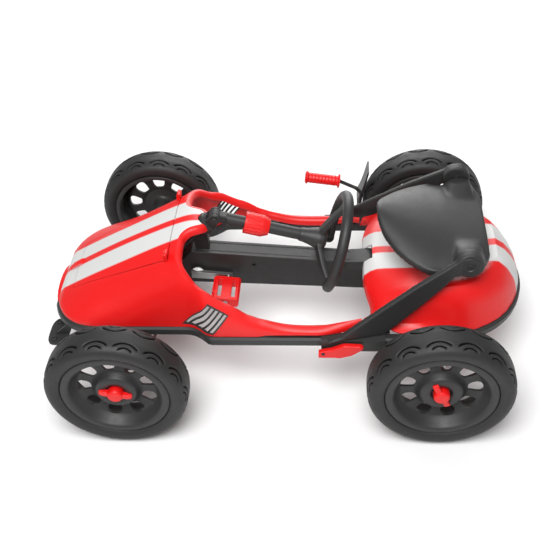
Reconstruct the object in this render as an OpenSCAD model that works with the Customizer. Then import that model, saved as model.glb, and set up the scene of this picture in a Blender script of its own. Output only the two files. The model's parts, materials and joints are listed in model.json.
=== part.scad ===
// Foldable pedal go kart for a small child, shown folded: steering column down, backrest forward.
// X runs forward, Y to the kart's left, Z up. Inside the modules X is measured from the middle
// of the wheelbase, and placed() moves that point so that the origin is at the middle of the length.

/* [Overall] */
// Distance from the wheelbase middle to the front of the bumper brackets
nose_reach = 482; // [482:1:488]
// Distance from the wheelbase middle to the end of the tail tray
tail_reach = 485; // [482:1:492]
// Distance between the front and rear axles
wheelbase = 611; // [600:1:620]
// Distance between the middles of the front tyres
track_front = 556; // [550:1:570]
// Distance between the middles of the rear tyres
track_rear = 548; // [544:1:570]

/* [Wheels] */
// Outer radius of a tyre
tyre_r = 137.5; // [134:0.5:140]
// Width of a tyre
tyre_w = 72; // [64:1:76]
// Radius of the rim where the tyre's side meets it
rim_r = 105; // [100:1:108]
// Number of oval holes in a rim
rim_holes = 9; // [5:1:12]
// Radius of the axles
axle_r = 7.5; // [6:0.5:9]

/* [Body] */
// Half width of the body at its lower edge beside the cockpit
body_half_w = 181; // [178:1:182]
// Wall thickness of the moulded shells
shell_t = 4; // [3:0.5:5]
// Height of the body's lower edge beside the cockpit
body_low_z = 173; // [172.5:0.5:176]
// How much narrower the frame is in front, where the wheels steer
front_inset = 28; // [26:1:30]

/* [Rails] */
// Half width over the side rails
rail_half_w = 187; // [186:1:190]
// Width of a rail
rail_w = 20; // [16:1:22]
// Height of a rail
rail_h = 21; // [18:1:22]
// Height of the rails' middle beside the cockpit
rail_z = 157.5; // [157:0.5:158]

/* [Beam and drive] */
// Half width of the middle beam
beam_half_w = 19; // [18:0.5:20]
// Wall thickness of the middle beam
beam_t = 3; // [2:0.5:4]
// Length of a crank arm between its axes
crank_len = 64; // [58:1:66]
// Pitch of the chain
chain_pitch = 8; // [7.5:0.1:8.4]
// Teeth on the crank's sprocket
crank_teeth = 18; // [16:1:19]
// Teeth on the rear axle's sprocket
axle_teeth = 12; // [10:1:14]

/* [Steering] */
// Angle of the lower steering shaft above the ground
shaft_angle = 45; // [44:1:46]
// Angle of the folded column below the horizontal
fold_angle = 16; // [15:0.5:17]
// Radius of the column's tube
column_r = 12; // [10:0.5:13]
// Radius of the steering wheel at the middle of its rim
wheel_rim_r = 94; // [90:1:96]
// Radius of the steering wheel's rim section
wheel_grip_r = 11; // [9:0.5:12]
// Length of the steering arms
steer_arm = 45; // [42:1:46]

/* [Backrest] */
// Thickness of the backrest panel
panel_t = 14; // [10:1:16]
// Radius of the arm's round head
head_r = 27; // [24:1:29]
// Thickness of an arm
arm_t = 12; // [10:1:13]

/* [Fits] */
// Radial clearance of a running fit
run_gap = 0.06; // [0.03:0.01:0.1]
// Gap between pieces that only lie side by side
seat_gap = 0.3; // [0.2:0.05:0.4]

/* [Hidden] */
$fn = 48;
mid_x = (tail_reach - nose_reach) / 2;
front_x = wheelbase / 2;
rear_x = -wheelbase / 2;
axle_z = tyre_r;
eps = 0.01;
// Rail and tray levels
rail_top = rail_z + rail_h / 2;
rail_low = rail_z - rail_h / 2;
front_half_w = rail_half_w - front_inset;
tray_x = 356;
tail_x = -330;
// Steering pivot and the folded column
pivot_x = 129;
pivot_z = 325.5;
shaft_r = 10;
tip_r = 8;
arm_s = 231;
tip_s = 258;
wheel_s = 247.6;
sleeve_s = 60;
sleeve_len = 50;
pin_x = front_x - steer_arm;
pitman_len = (pivot_x + arm_s * cos(shaft_angle) - pin_x) / sin(shaft_angle);
rod_z = 115;
king_y = 210;
king_r = 5;
// Crank
crank_x = 175;
crank_z = 197;
crank_ang = 186.3;
crank_axle_r = 8;
pedal_pin_r = 5;
ring_pitch_r = chain_pitch / (2 * sin(180 / crank_teeth));
axle_pitch_r = chain_pitch / (2 * sin(180 / axle_teeth));
// Beam top line
beam_slope = atan(0.0912);
function beam_top(x) = 218.2 + 0.0912 * (x + 149.4);
cover_t = 3;
cover_drop = cover_t / cos(beam_slope) + 2 * eps;
// Seat frame and backrest
back_x = -356;
back_z = 318;
back_rod_r = 6;
arm_yaw = 12.5;
arm_foot_x = -100;
arm_foot_y = 200;
shoe_front = -82;
shoe_rear = -205;
// Brake
brake_x = -160;
brake_z = 158;
brake_r = 5;
brake_turn = 9;
// Hood
hood_rear = 212;
hood_front = 430;
nose_x = 447;
lip_x = 464;
hood_gap = 1.5;
hinge_x = 217;
hinge_z = 309;

red = [0.92, 0.16, 0.16];
dark = [0.29, 0.29, 0.30];
black = [0.15, 0.15, 0.15];
steel = [0.62, 0.63, 0.65];

module placed() translate([mid_x, 0, 0]) children();
module on_shaft() translate([pivot_x, 0, pivot_z]) rotate([0, 90 + shaft_angle, 0]) children();
module on_column() translate([pivot_x, 0, pivot_z]) rotate([0, -90 - fold_angle, 0]) children();
module along_y(r, y0, y1) translate([0, y0, 0]) rotate([-90, 0, 0]) cylinder(r = r, h = y1 - y0);
module side_plate(outline, y0, y1)
    translate([0, y1, 0]) rotate([90, 0, 0]) linear_extrude(y1 - y0) polygon(outline);
module box(a, b) translate(a) cube(b - a);
module both_sides() { children(); mirror([0, 1, 0]) children(); }

// Smooth curve through [position, value] keys in rising order
function slope(k, i) = let(a = max(i - 1, 0), b = min(i + 1, len(k) - 1))
    (k[b][1] - k[a][1]) / (k[b][0] - k[a][0]);
function curve(x, k, i = 0) =
    x <= k[0][0] ? k[0][1] :
    x >= k[len(k) - 1][0] ? k[len(k) - 1][1] :
    x > k[i + 1][0] ? curve(x, k, i + 1) :
    let(h = k[i + 1][0] - k[i][0], t = (x - k[i][0]) / h,
        a = slope(k, i) * h, b = slope(k, i + 1) * h)
    k[i][1] * (1 + 2 * t) * (1 - t) * (1 - t) + a * t * (1 - t) * (1 - t)
    + k[i + 1][1] * t * t * (3 - 2 * t) + b * t * t * (t - 1);

// Sheet of even thickness below a grid of points, with the cells that keep(i, j) names
function unit(v) = v / max(norm(v), 1e-6);
function grid_normal(p, i, j) = unit(cross(
    p[min(i + 1, len(p) - 1)][j] - p[max(i - 1, 0)][j],
    p[i][min(j + 1, len(p[0]) - 1)] - p[i][max(j - 1, 0)]));
module sheet(p, t, keep) {
    n = len(p);
    m = len(p[0]);
    q = [for (i = [0 : n - 1]) [for (j = [0 : m - 1]) p[i][j] - t * grid_normal(p, i, j)]];
    k = function(i, j) i >= 0 && j >= 0 && i < n - 1 && j < m - 1 && keep(i, j);
    o = n * m;
    faces = [for (i = [0 : n - 2]) for (j = [0 : m - 2]) if (k(i, j))
        let(a = i * m + j, b = a + m, c = b + 1, d = a + 1)
        each concat([[a, d, c], [a, c, b], [a + o, c + o, d + o], [a + o, b + o, c + o]],
            k(i, j - 1) ? [] : [[a, b, b + o], [a, b + o, a + o]],
            k(i, j + 1) ? [] : [[c, d, d + o], [c, d + o, c + o]],
            k(i - 1, j) ? [] : [[d, a, a + o], [d, a + o, d + o]],
            k(i + 1, j) ? [] : [[b, c, c + o], [b, c + o, b + o]])];
    polyhedron(points = concat([for (r = p) each r], [for (r = q) each r]), faces = faces);
}

// Solid through closed rings that turn right-handed about the way they advance
module loft(r) {
    n = len(r);
    m = len(r[0]);
    sides = [for (i = [0 : n - 2]) for (j = [0 : m - 1])
        let(a = i * m + j, d = i * m + (j + 1) % m) each [[a, a + m, d + m], [a, d + m, d]]];
    polyhedron(points = [for (s = r) each s], faces = concat(sides,
        [[for (j = [0 : m - 1]) j]], [[for (j = [0 : m - 1]) n * m - 1 - j]]));
}

// Round bar through a list of points
module bar(p, r) for (i = [0 : len(p) - 1]) {
    if (i > 0 && i < len(p) - 1) translate(p[i]) sphere(r = r + 0.4);
    if (i < len(p) - 1) {
        v = p[i + 1] - p[i];
        translate(p[i]) rotate([0, acos(v[2] / norm(v)), atan2(v[1], v[0])])
            cylinder(r = r, h = norm(v));
    }
}

// Front body: rows along X, columns from the right lower edge over the top to the left
front_red_w = front_half_w - 5;
width_keys = [[-170, 160], [-140, 168], [-115, 174], [-88, body_half_w - 1], [-60, body_half_w],
    [100, body_half_w], [132, body_half_w - 1], [146, front_red_w + 20], [158, front_red_w + 10],
    [172, front_red_w + 2], [190, front_red_w], [360, front_red_w]];
function body_w(x) = x < 360 ? curve(x, width_keys) :
    front_red_w * pow(max(0, 1 - pow((x - 360) / 112, 2.5)), 0.4);
low_keys = [[-170, body_low_z], [20, body_low_z], [45, rail_top + 1], [460, rail_top + 1]];
function body_low(x) = curve(x, low_keys);
top_keys = [[-170, 215], [-130, 206], [-90, 194.5], [-50, 192.6], [-10, 199.5], [30, 220], [70, 252],
    [93, 290], [125, 314], [145, 321], [165, 322.5], [185, 320.5], [216, 309.8]];
function hood_line(x) = 309.8 - 0.507 * (x - 216.2) + 3.2 * (1 - pow((x - 311) / 95, 2));
function body_top(x) = x < 216 ? curve(x, top_keys) : x < nose_x ? hood_line(x) :
    hood_line(nose_x) - 17 * pow((x - nose_x) / (lip_x - nose_x), 1.5);
function body_n(x) = curve(x, [[212, 3], [300, 2.2], [400, 1.9]]);
edge_keys = [[-170, 153], [-140, 160], [-115, 164.5], [-88, 168], [30, 168], [70, 167], [93, 165],
    [125, 160], [142, 157], [158, 147], [171, 134], [182, 114], [212, 100], [430, 69.7], [nose_x, 66],
    [lip_x, 56]];
function edge_y(x) = curve(x, edge_keys);
function edge_a(x) = acos(pow(edge_y(x) / body_w(x), body_n(x) / 2));
function on_body(x, a) = [x, body_w(x) * pow(max(0, cos(a)), 2 / body_n(x)),
    body_low(x) + (body_top(x) - body_low(x)) * pow(max(0, sin(a)), 2 / body_n(x))];
function over_body(x, y) = on_body(x, acos(pow(y / body_w(x), body_n(x) / 2)))[2];
dash_keys = [[0, 140], [30, 143], [50, 151], [70, 165], [90, 177], [114, 182]];
side_n = 8;
top_n = 9;
body_x = [-160, -145, -130, -110, -90, -70, -50, -30, -10, 10, 30, 50, 62, 74, 86, 98, 110, 125,
    142, 158, 171, 182, 197, 212, 235, 260, 285, 310, 335, 360, 380, 398, 412, 422, 430, 438, nose_x,
    nose_x + 7, nose_x + 13, lip_x];
dash_row = 21;
open_row = 23;
nose_row = 34;
roll_keys = [[-170, 5], [-115, 10], [-80, 13]];
function roll(x, u) = let(e = on_body(x, edge_a(x)))
    [x, e[1] - curve(x, roll_keys) * sin(90 * min(1, u / 1.6)),
        e[2] + 4 * sin(180 * min(1, u / 1.5)) - 7 * max(0, u - 1)];
function body_point(i, j) = let(h = side_n + top_n, c = min(j, 2 * h - j), s = j < h ? -1 : 1,
    x = body_x[i], ea = edge_a(x),
    a = c <= side_n ? ea * c / side_n : ea + (90 - ea) * (c - side_n) / top_n,
    f = i < dash_row || i > open_row ? 0 : (open_row - i) / (open_row - dash_row),
    y0 = on_body(182, edge_a(182) + (90 - edge_a(182)) * max(0, c - side_n) / top_n)[1],
    xt = c <= side_n || f == 0 ? x : hood_rear + (curve(y0, dash_keys) - hood_rear) * f,
    at = c <= side_n || f == 0 ? a : acos(pow(min(1, (y0 * f + on_body(hood_rear, a)[1] * (1 - f))
        / body_w(xt)), body_n(xt) / 2)),
    p = i < dash_row && c > side_n ? roll(x, c - side_n) : on_body(xt, at)) [p[0], s * p[1], p[2]];
body_grid = [for (i = [0 : len(body_x) - 1]) [for (j = [0 : 2 * (side_n + top_n)]) body_point(i, j)]];
function body_cell(i, j) = let(c = min(j, 2 * (side_n + top_n) - 1 - j))
    c < side_n || (i < dash_row && c < side_n + 2) || (i >= dash_row && i < open_row) || i >= nose_row;
vent_outline = [[134, 241], [99, 219], [129, 177], [187, 181]];
module vent_prism(gap) {
    m = [136, 208];
    d = 1 + gap / 30;
    side_plate([for (p = vent_outline) m + (p - m) * d], 120, 200);
}
module front_body() placed() color(red) difference() {
    sheet(body_grid, shell_t, function(i, j) body_cell(i, j));
    both_sides() vent_prism(seat_gap);
    on_shaft() cylinder(r = 19, h = 70);
}

// Hood panel on the same surface
hood_x = [hood_rear + 2.5, 235, 260, 285, 310, 335, 360, 385, 410, hood_front - hood_gap];
hood_n = 7;
function hood_point(i, j) = let(x = hood_x[i], c = min(j, 2 * hood_n - j), s = j < hood_n ? -1 : 1,
    e = acos(pow((edge_y(x) - hood_gap) / body_w(x), body_n(x) / 2)),
    p = on_body(x, e + (90 - e) * c / hood_n)) [p[0], s * p[1], p[2]];
module hood_panel() placed() color(red) {
    difference() {
        sheet([for (i = [0 : len(hood_x) - 1]) [for (j = [0 : 2 * hood_n]) hood_point(i, j)]],
            shell_t, function(i, j) true);
        both_sides() translate([hinge_x, 0, hinge_z]) along_y(2 + run_gap, 80, 110);
    }
    both_sides() translate([hinge_x, 0, hinge_z]) difference() {
        along_y(4.5, 86, 98);
        along_y(2 + run_gap, 85, 99);
    }
    both_sides() side_plate([[hinge_x - 1.5, hinge_z - 14], [hinge_x + 5, hinge_z - 16],
        [hinge_x + 4.4, hinge_z - 1], [hinge_x + 1, hinge_z - 3], [hinge_x - 1.5, hinge_z - 3]], 86, 98);
    tab = hood_front - hood_gap;
    side_plate([[tab - 8, hood_line(tab - 8) - 3], [tab - 1, hood_line(tab - 1) - 3],
        [tab - 0.5, hood_line(tab) + 0.7], [nose_x - 1, hood_line(nose_x - 1) + 0.7],
        [nose_x - 1, hood_line(nose_x - 1) + 3], [tab - 2, hood_line(tab - 2) + 3.4],
        [tab - 8, hood_line(tab - 8) + 1]], -9, 9);
}

// Rear body: each station gives the outline from the lower edge over the haunch to the middle
rear_keys = [
    [-478, [27, 25, 21, 15, 8], [169, 172, 176, 179, 180, 181]],
    [-470, [60, 55, 46, 33, 18], [169, 178, 192, 201, 205, 207]],
    [-450, [100, 92, 78, 55, 30], [169, 185, 210, 228, 235, 238]],
    [-426, [128, 119, 104, 70, 40], [169, 190, 225, 250, 255, 257]],
    [-380, [157, 148, 135, 110, 65], [169, 195, 235, 258, 248, 244]],
    [-336, [166, 158, 146, 126, 75], [169, 195, 235, 259, 238, 232]],
    [-300, [172, 157, 147, 129, 80], [169, 190, 232, 259, 236, 229]],
    [-266, [176, 155, 147, 132, 80], [169.5, 183, 225, 254, 240, 233]],
    [-225, [170, 153, 148, 136, 80], [173, 181, 203, 231, 236, 237]],
    [-200, [156, 154, 150, 141, 76], [173, 180, 197, 218, 234, 236]],
    [-182, [156, 154, 151, 146, 75], [173, 180, 193, 206, 229, 233]],
    [-166, [158, 155, 152, 150, 75], [173, 180, 190, 196, 215, 221]]];
rear_x_rows = [-478, -475, -469, -459, -444, -426, -405, -380, -350, -318, -286, -256, -228, -205, -190,
    -178, -166];
rear_n = 16;
function rear_y(x, k) = k > 4 ? 0 : curve(x, [for (s = rear_keys) [s[0], s[1][k]]]);
function rear_z(x, k) = curve(x, [for (s = rear_keys) [s[0], s[2][k]]]);
lip_keys = [[0, 0], [75, -1], [125, -14], [142, -15], [152, -5], [158, 3]];
function rear_point(i, j) = let(c = min(j, 2 * rear_n - j), s = j < rear_n ? -1 : 1,
    row = min(i, len(rear_x_rows) - 1), x = rear_x_rows[row], u = 5 * c / rear_n,
    y = curve(u, [for (k = [0 : 5]) [k, rear_y(x, k)]]),
    z = curve(u, [for (k = [0 : 5]) [k, rear_z(x, k)]]),
    f = max(0, (x + 220) / 54), sh = f * f * curve(y, lip_keys),
    down = i > row ? 14 * min(1, u / 2.5) : 0)
    [x + sh + (i > row ? 2.5 : 0), s * y, z - down];
module rear_body() placed() color(red) difference() {
    sheet([for (i = [0 : len(rear_x_rows)]) [for (j = [0 : 2 * rear_n]) rear_point(i, j)]],
        shell_t, function(i, j) true);
    box([-183, -beam_half_w - 1.6, 190], [-150, beam_half_w + 1.6, 260]);
    box([-tail_reach, -rail_half_w, 0], [-150, rail_half_w, rail_top + seat_gap]);
}

// Side vent: a slotted insert set flush into the window of the front body
module vent() intersection() {
    sheet(body_grid, shell_t, function(i, j) body_cell(i, j));
    difference() {
        vent_prism(0);
        for (k = [0 : 4]) {
            t = (k + 0.16) / 5;
            w = 0.68 / 5;
            f = function(u, s) (vent_outline[0] * (1 - u) + vent_outline[1] * u) * (1 - s)
                + (vent_outline[3] * (1 - u) + vent_outline[2] * u) * s;
            side_plate([f(t, 0.06), f(t + w, 0.06), f(t + w, 0.94), f(t, 0.94)], 120, 200);
        }
    }
}
module left_vent() placed() color(dark) vent();
module right_vent() placed() color(dark) mirror([0, 1, 0]) vent();

// Frame rails, lofted along stations of [x, outer half width]
rail_rows = [[tail_x, 172], [-300, 179], [-270, 184.5], [-240, rail_half_w], [132, rail_half_w],
    [140, rail_half_w - 2.5], [148, front_half_w + 18], [158, front_half_w + 10],
    [168, front_half_w + 4], [178, front_half_w + 1], [190, front_half_w], [tray_x, front_half_w]];
module rail() difference() {
    rail_solid();
    translate([rear_x, 0, axle_z]) along_y(axle_r + 4, 100, 250);
}
module rail_solid() loft([for (s = rail_rows) let(y = s[1], z = rail_z, h = rail_h / 2, b = 4)
    [[s[0], y - b, z - h], [s[0], y, z - h + b], [s[0], y, z + h - b], [s[0], y - b, z + h],
     [s[0], y - rail_w + b, z + h], [s[0], y - rail_w, z + h - b], [s[0], y - rail_w, z - h + b],
     [s[0], y - rail_w + b, z - h]]]);
module left_rail() placed() color(dark) rail();
module right_rail() placed() color(dark) mirror([0, 1, 0]) rail();

// Nose tray: a swept apron that slopes out below the lip of the body, cut flat behind the nose ring
nose_a = 125;
nose_n = 24;
function nose_out(k) = let(s = sin(90 * k / nose_n))
    [tray_x + nose_a * pow(max(0, 1 - pow(abs(s), 2.5)), 0.4), front_half_w * s];
function nose_way(k) = unit(nose_out(min(k + 0.5, nose_n)) - nose_out(max(k - 0.5, -nose_n)));
function apron(f) = let(inner = -rail_w - 26 * f, top = rail_top - 2 * f)
    [[-4 + 2 * f, rail_low], [0, rail_low + 4], [-4.5 * f, top - 4 - 5 * f], [-4 - 12 * f, top],
        [inner + 4, top], [inner, top - 4], [inner, rail_low + 4], [inner + 4, rail_low]];
module nose_tray() placed() color(dark) difference() {
    loft([for (k = [nose_n : -1 : -nose_n]) let(p = nose_out(k), w = abs(k) == nose_n ? [0, 1] : nose_way(k),
        out = abs(k) == nose_n ? [0, sign(k)] : [w[1], -w[0]])
        [for (s = apron(pow(cos(90 * k / nose_n), 2))) [each p + s[0] * out, s[1]]]]);
    box([ring_back - seat_gap, -ring_a - seat_gap, 0], [nose_reach + 50, ring_a + seat_gap, 300]);
}
module tray_stack(z0, h) {
    translate([0, 0, z0]) linear_extrude(4) children(1);
    translate([0, 0, z0 + 4]) linear_extrude(h - 8) children(0);
    translate([0, 0, z0 + h - 4]) linear_extrude(4) children(1);
}
function turned(p) = [for (i = [len(p) - 1 : -1 : 0]) p[i]];
function tail_arc(b, a) = [for (k = [-24 : 24]) let(t = 90 * k / 24)
    [tail_x - a * cos(t), b * sin(t)]];
module tail_plan(d) polygon(concat(tail_arc(172 - d, tail_reach + tail_x - d),
    turned(tail_arc(172 - rail_w + d, tail_reach + tail_x - rail_w + d))));
module tail_tray() placed() color(dark) tray_stack(rail_low, rail_h) {
    tail_plan(0);
    tail_plan(1.6);
}

// Nose ring: a leaning oval hoop in the gap of the tray, with the grille inside it
ring_lean = 22;
ring_a = 72;
ring_b = 29;
ring_x = 471;
ring_z = 129;
ring_back = 462.5;
ring_t = 9;
module oval(a, b) polygon([for (k = [0 : 59]) [b * cos(6 * k), a * sin(6 * k)]]);
module on_nose() translate([ring_x, 0, ring_z]) rotate([0, 90 + ring_lean, 0]) children();
module nose_ring() placed() color(red) difference() {
    on_nose() translate([0, 0, -30]) linear_extrude(30) difference() {
        oval(ring_a, ring_b);
        oval(ring_a - ring_t, ring_b - ring_t);
    }
    box([380, -120, 60], [ring_back, 120, 230]);
}
function bar_half(y) = (ring_b - ring_t) * sqrt(1 - pow(y / (ring_a - ring_t), 2)) - 0.5;
module grille() placed() color(black) difference() {
    on_nose() {
        translate([0, 0, -16]) linear_extrude(4) oval(ring_a - ring_t, ring_b - ring_t);
        for (k = [-4 : 4])
            let(h = bar_half(14 * abs(k) + 1.5))
                translate([-h, 14 * k - 1.5, -12 - eps]) cube([2 * h, 3, 6]);
    }
    box([380, -120, 60], [ring_back, 120, 230]);
}

// Bumper brackets under the nose
plate_l = 42;
module bumper_bracket() difference() {
    union() {
        box([nose_reach - plate_l, 85, 116], [nose_reach, 158, 120]);
        for (y = [92, 124])
            side_plate([[nose_reach - plate_l, 118], [nose_reach - plate_l + 30, 118], [442, rail_low],
                [428, rail_low]], y, y + 5);
    }
    for (y = [94, 142]) translate([nose_reach - 13.5, y, 100]) cylinder(r = 3.2, h = 40);
}
module bumper_brackets() placed() color(dark) both_sides() bumper_bracket();

// Middle beam: an open channel that carries the crank and houses the chain
beam_outline = [[185, beam_top(185) - cover_drop], [-182, beam_top(-182) - cover_drop], [-200, 205],
    [-335, 170], [-335, 112], [-210, 112], [-166, 146.6], [50, 158], [150, 163], [213, 166], [240, 170],
    [240, 190]];
beam_inside = [[180, beam_top(180) - cover_drop - beam_t], [-181, beam_top(-181) - cover_drop - beam_t],
    [-199, 201], [-331, 166], [-331, 100], [-205, 100], [-160, 130], [236, 130], [236, 187]];
module main_beam() placed() color(dark) difference() {
    side_plate(beam_outline, -beam_half_w, beam_half_w);
    side_plate(beam_inside, -beam_half_w + beam_t, beam_half_w - beam_t);
    translate([crank_x, 0, crank_z]) along_y(12 + seat_gap, -40, 40);
    translate([rear_x, 0, axle_z]) along_y(12, -40, 40);
    translate([58, 0, 212]) along_y(4, 0, 40);
}
module beam_cover() placed() color(dark) difference() {
    translate([-182, 0, beam_top(-182)]) rotate([0, -beam_slope, 0]) {
        translate([14, -beam_half_w - 1, -cover_t]) cube([350, 2 * beam_half_w + 2, cover_t]);
        intersection() {
            translate([21, 0, -cover_t]) cylinder(r = beam_half_w + 1, h = cover_t);
            translate([0, -50, -cover_t]) cube([20, 100, 10]);
        }
    }
    translate([-150, 0, beam_top(-150)]) rotate([0, -beam_slope, 0]) both_sides() {
        translate([0, 11, -1.2]) cube([312, 2.4, 5]);
    }
    on_shaft() cylinder(r = 14, h = 300);
}
module crank_bushes() placed() color(black) both_sides() translate([crank_x, 0, crank_z])
    difference() {
        along_y(12, beam_half_w - beam_t - 2, beam_half_w + 3);
        along_y(crank_axle_r + run_gap, 0, 40);
    }

// Chain: two plate loops beside the sprocket discs, with cross pins on the straight runs
chain_d = [crank_x - rear_x, crank_z - axle_z];
chain_len = norm(chain_d);
chain_tilt = atan2(chain_d[1], chain_d[0]);
chain_open = asin((ring_pitch_r - axle_pitch_r) / chain_len);
module chain_loop(g) {
    polygon(concat(
        [for (k = [0 : 16]) let(t = 90 + chain_open + k * (180 - 2 * chain_open) / 16)
            (axle_pitch_r + g) * [cos(t), sin(t)]],
        [for (k = [0 : 16]) let(t = -90 - chain_open + k * (180 + 2 * chain_open) / 16)
            [chain_len, 0] + (ring_pitch_r + g) * [cos(t), sin(t)]]));
}
module chain() placed() color(steel)
    translate([rear_x, 0, axle_z]) rotate([0, -chain_tilt, 0]) rotate([90, 0, 0]) {
        for (y = [-3.6, 2.2]) translate([0, 0, y]) linear_extrude(1.4) difference() {
            chain_loop(2.6);
            chain_loop(-2.6);
        }
        for (s = [-1, 1]) for (k = [1 : 29]) let(t = 90 + chain_open,
            a = axle_pitch_r * [cos(t), s * sin(t)],
            b = [chain_len, 0] + ring_pitch_r * [cos(t), s * sin(t)])
            translate(concat(a + (b - a) * k / 30, -2.6)) cylinder(r = 1.4, h = 5.2, $fn = 16);
    }
module toothed(n, rp) difference() {
    circle(r = rp + 2);
    for (k = [0 : n - 1]) rotate((k + 0.5) * 360 / n) translate([rp + 0.8, 0])
        circle(r = chain_pitch * 0.28, $fn = 16);
}
module chainring() placed() color(steel) translate([crank_x, 0, crank_z]) rotate([90, 0, 0])
    translate([0, 0, -1.4]) linear_extrude(2.8) difference() {
        toothed(crank_teeth, ring_pitch_r);
        circle(r = crank_axle_r + run_gap);
    }
module rear_sprocket() placed() color(steel) translate([rear_x, 0, axle_z]) rotate([90, 0, 0])
    translate([0, 0, -1.4]) linear_extrude(2.8) difference() {
        toothed(axle_teeth, axle_pitch_r);
        circle(r = axle_r + run_gap);
    }

// Front axle beam with forks for the kingpins and a socket for the end of the steering shaft
module front_axle_beam() placed() color(dark) difference() {
    union() {
        box([front_x - 12, -190, 126], [front_x + 12, 190, rail_low]);
        both_sides() {
            box([front_x - 12, 178, 117], [front_x + 12, 192, 158]);
            box([front_x - 12, 182, 150], [front_x + 12, 224, 158]);
            box([front_x - 12, 182, 117], [front_x + 12, 224, 126]);
            side_plate([[200, 150], [front_x - 5, 128], [front_x - 5, 150], [240, 166], [200, 166]],
                beam_half_w, beam_half_w + 4);
        }
        on_shaft() translate([-13, -16, 243]) cube([26, 32, 24]);
    }
    both_sides() translate([front_x, king_y, 100]) cylinder(r = king_r, h = 80);
    on_shaft() cylinder(r = tip_r + run_gap, h = tip_s + 2);
}
module kingpins() placed() color(steel) both_sides() translate([front_x, king_y, 0]) {
    translate([0, 0, 114]) cylinder(r = king_r, h = 46);
    translate([0, 0, 158]) cylinder(r = king_r + 4, h = 4);
    translate([0, 0, 113]) cylinder(r = king_r + 4, h = 4);
}
module knuckle() difference() {
    union() {
        translate([front_x, king_y, 126.4]) cylinder(r = 12, h = 23.2);
        translate([front_x, 0, axle_z]) along_y(axle_r, king_y + 8, track_front / 2 + 11);
        translate([front_x, 0, axle_z]) along_y(11, king_y + 8, track_front / 2 - tyre_w / 2 - 1);
        box([pin_x, king_y - 7, 126.4], [front_x - 8, king_y + 7, 134]);
        translate([pin_x, king_y, 126.4]) cylinder(r = 9, h = 7.6);
        translate([pin_x, king_y, rod_z - 8]) cylinder(r = 4, h = 22);
        translate([pin_x, king_y, rod_z - 8 - seat_gap]) cylinder(r = 8, h = 2);
    }
    translate([front_x, king_y, 100]) cylinder(r = king_r + run_gap, h = 80);
}
module left_knuckle() placed() color(dark) knuckle();
module right_knuckle() placed() color(dark) mirror([0, 1, 0]) knuckle();
module rod_eye(x, y) translate([x, y, rod_z - 6]) children();
module track_rod() placed() color(steel) difference() {
    union() {
        translate([pin_x, 0, rod_z]) along_y(5, -king_y, king_y);
        for (y = [-king_y, 0, king_y]) rod_eye(pin_x, y) cylinder(r = 10, h = 12);
    }
    for (y = [-king_y, 0, king_y]) rod_eye(pin_x, y) translate([0, 0, -1]) cylinder(r = 6, h = 14);
}
module lower_shaft() placed() color(steel) {
    on_shaft() {
        difference() {
            union() {
                translate([0, 0, 16]) cylinder(r = 15, h = 10);
                for (y = [-15, 9]) {
                    along_y(12, y, y + 6);
                    translate([-12, y, 0]) cube([24, 6, 17]);
                }
            }
            along_y(4 + run_gap, -20, 20);
        }
        translate([0, 0, 25]) cylinder(r = shaft_r, h = arm_s - 29);
        translate([0, 0, arm_s - 5]) cylinder(r = tip_r, h = tip_s - arm_s + 5);
        translate([0, -7, arm_s - 4]) cube([pitman_len, 14, 8]);
        translate([pitman_len, 0, arm_s - 4]) cylinder(r = 7, h = 8);
    }
    translate([pin_x, 0, rod_z - 7]) cylinder(r = 4, h = 19);
}
module steering_socket() placed() color(black) difference() {
    union() {
        on_shaft() translate([0, 0, 28]) cylinder(r = 18, h = 13);
        side_plate([[148, 240], [176, 243], [176, 290], [164, 302], [148, 292]], -9, 9);
    }
    on_shaft() cylinder(r = shaft_r + run_gap, h = 120);
    side_plate([[100, 200], [200, 200], [200, beam_top(200)], [100, beam_top(100)]], -30, 30);
}
module column_tube() placed() color(dark) on_column() difference() {
    union() {
        along_y(12, -9 + seat_gap, 9 - seat_gap);
        translate([-9, -9 + seat_gap, 0]) cube([18, 18 - 2 * seat_gap, 26]);
        translate([0, 0, 24]) cylinder(r = column_r, h = 152);
    }
    along_y(4, -20, 20);
}
module fold_pin() placed() color(steel) on_column() {
    along_y(4, -16, 16);
    both_sides() along_y(7, 15.4, 19);
}
module steering_wheel() placed() color(dark) on_column() {
    translate([0, 0, wheel_s]) rotate([0, 0, -126]) rotate_extrude(angle = 252)
        translate([wheel_rim_r, 0]) circle(r = wheel_grip_r);
    for (t = [-126, 126]) translate([wheel_rim_r * cos(t), wheel_rim_r * sin(t), wheel_s])
        sphere(r = wheel_grip_r + 0.7);
    difference() {
        union() {
            translate([0, 0, 174]) cylinder(r1 = column_r + 1.5, r2 = 23, h = 48);
            translate([0, 0, 222]) cylinder(r1 = 23, r2 = 30, h = 14);
            translate([0, 0, 236]) cylinder(r = 30, h = 18);
            translate([0, 0, 254]) cylinder(r1 = 30, r2 = 25, h = 5);
        }
        translate([0, 0, 100]) cylinder(r = column_r + eps * 2, h = 76 + eps * 2);
    }
    for (t = [-115.7, 0, 115.7]) rotate([0, 0, t]) translate([0, 0, wheel_s - 6])
        linear_extrude(9) polygon([[20, -11], [wheel_rim_r - 8, -8], [wheel_rim_r, -8],
            [wheel_rim_r, 8], [wheel_rim_r - 8, 8], [20, 11]]);
}
module lock_sleeve() placed() color(red) on_column() translate([0, 0, sleeve_s]) difference() {
    union() {
        cylinder(r = 22, h = sleeve_len - 14);
        translate([0, 0, sleeve_len - 14]) cylinder(r1 = 22, r2 = 16, h = 14);
    }
    translate([0, 0, -1]) cylinder(r = column_r + run_gap, h = sleeve_len + 2);
    for (k = [0 : 17]) rotate([0, 0, 20 * k]) translate([22.6, 0, 4])
        cylinder(r = 1.8, h = sleeve_len - 22, $fn = 16);
}

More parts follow.
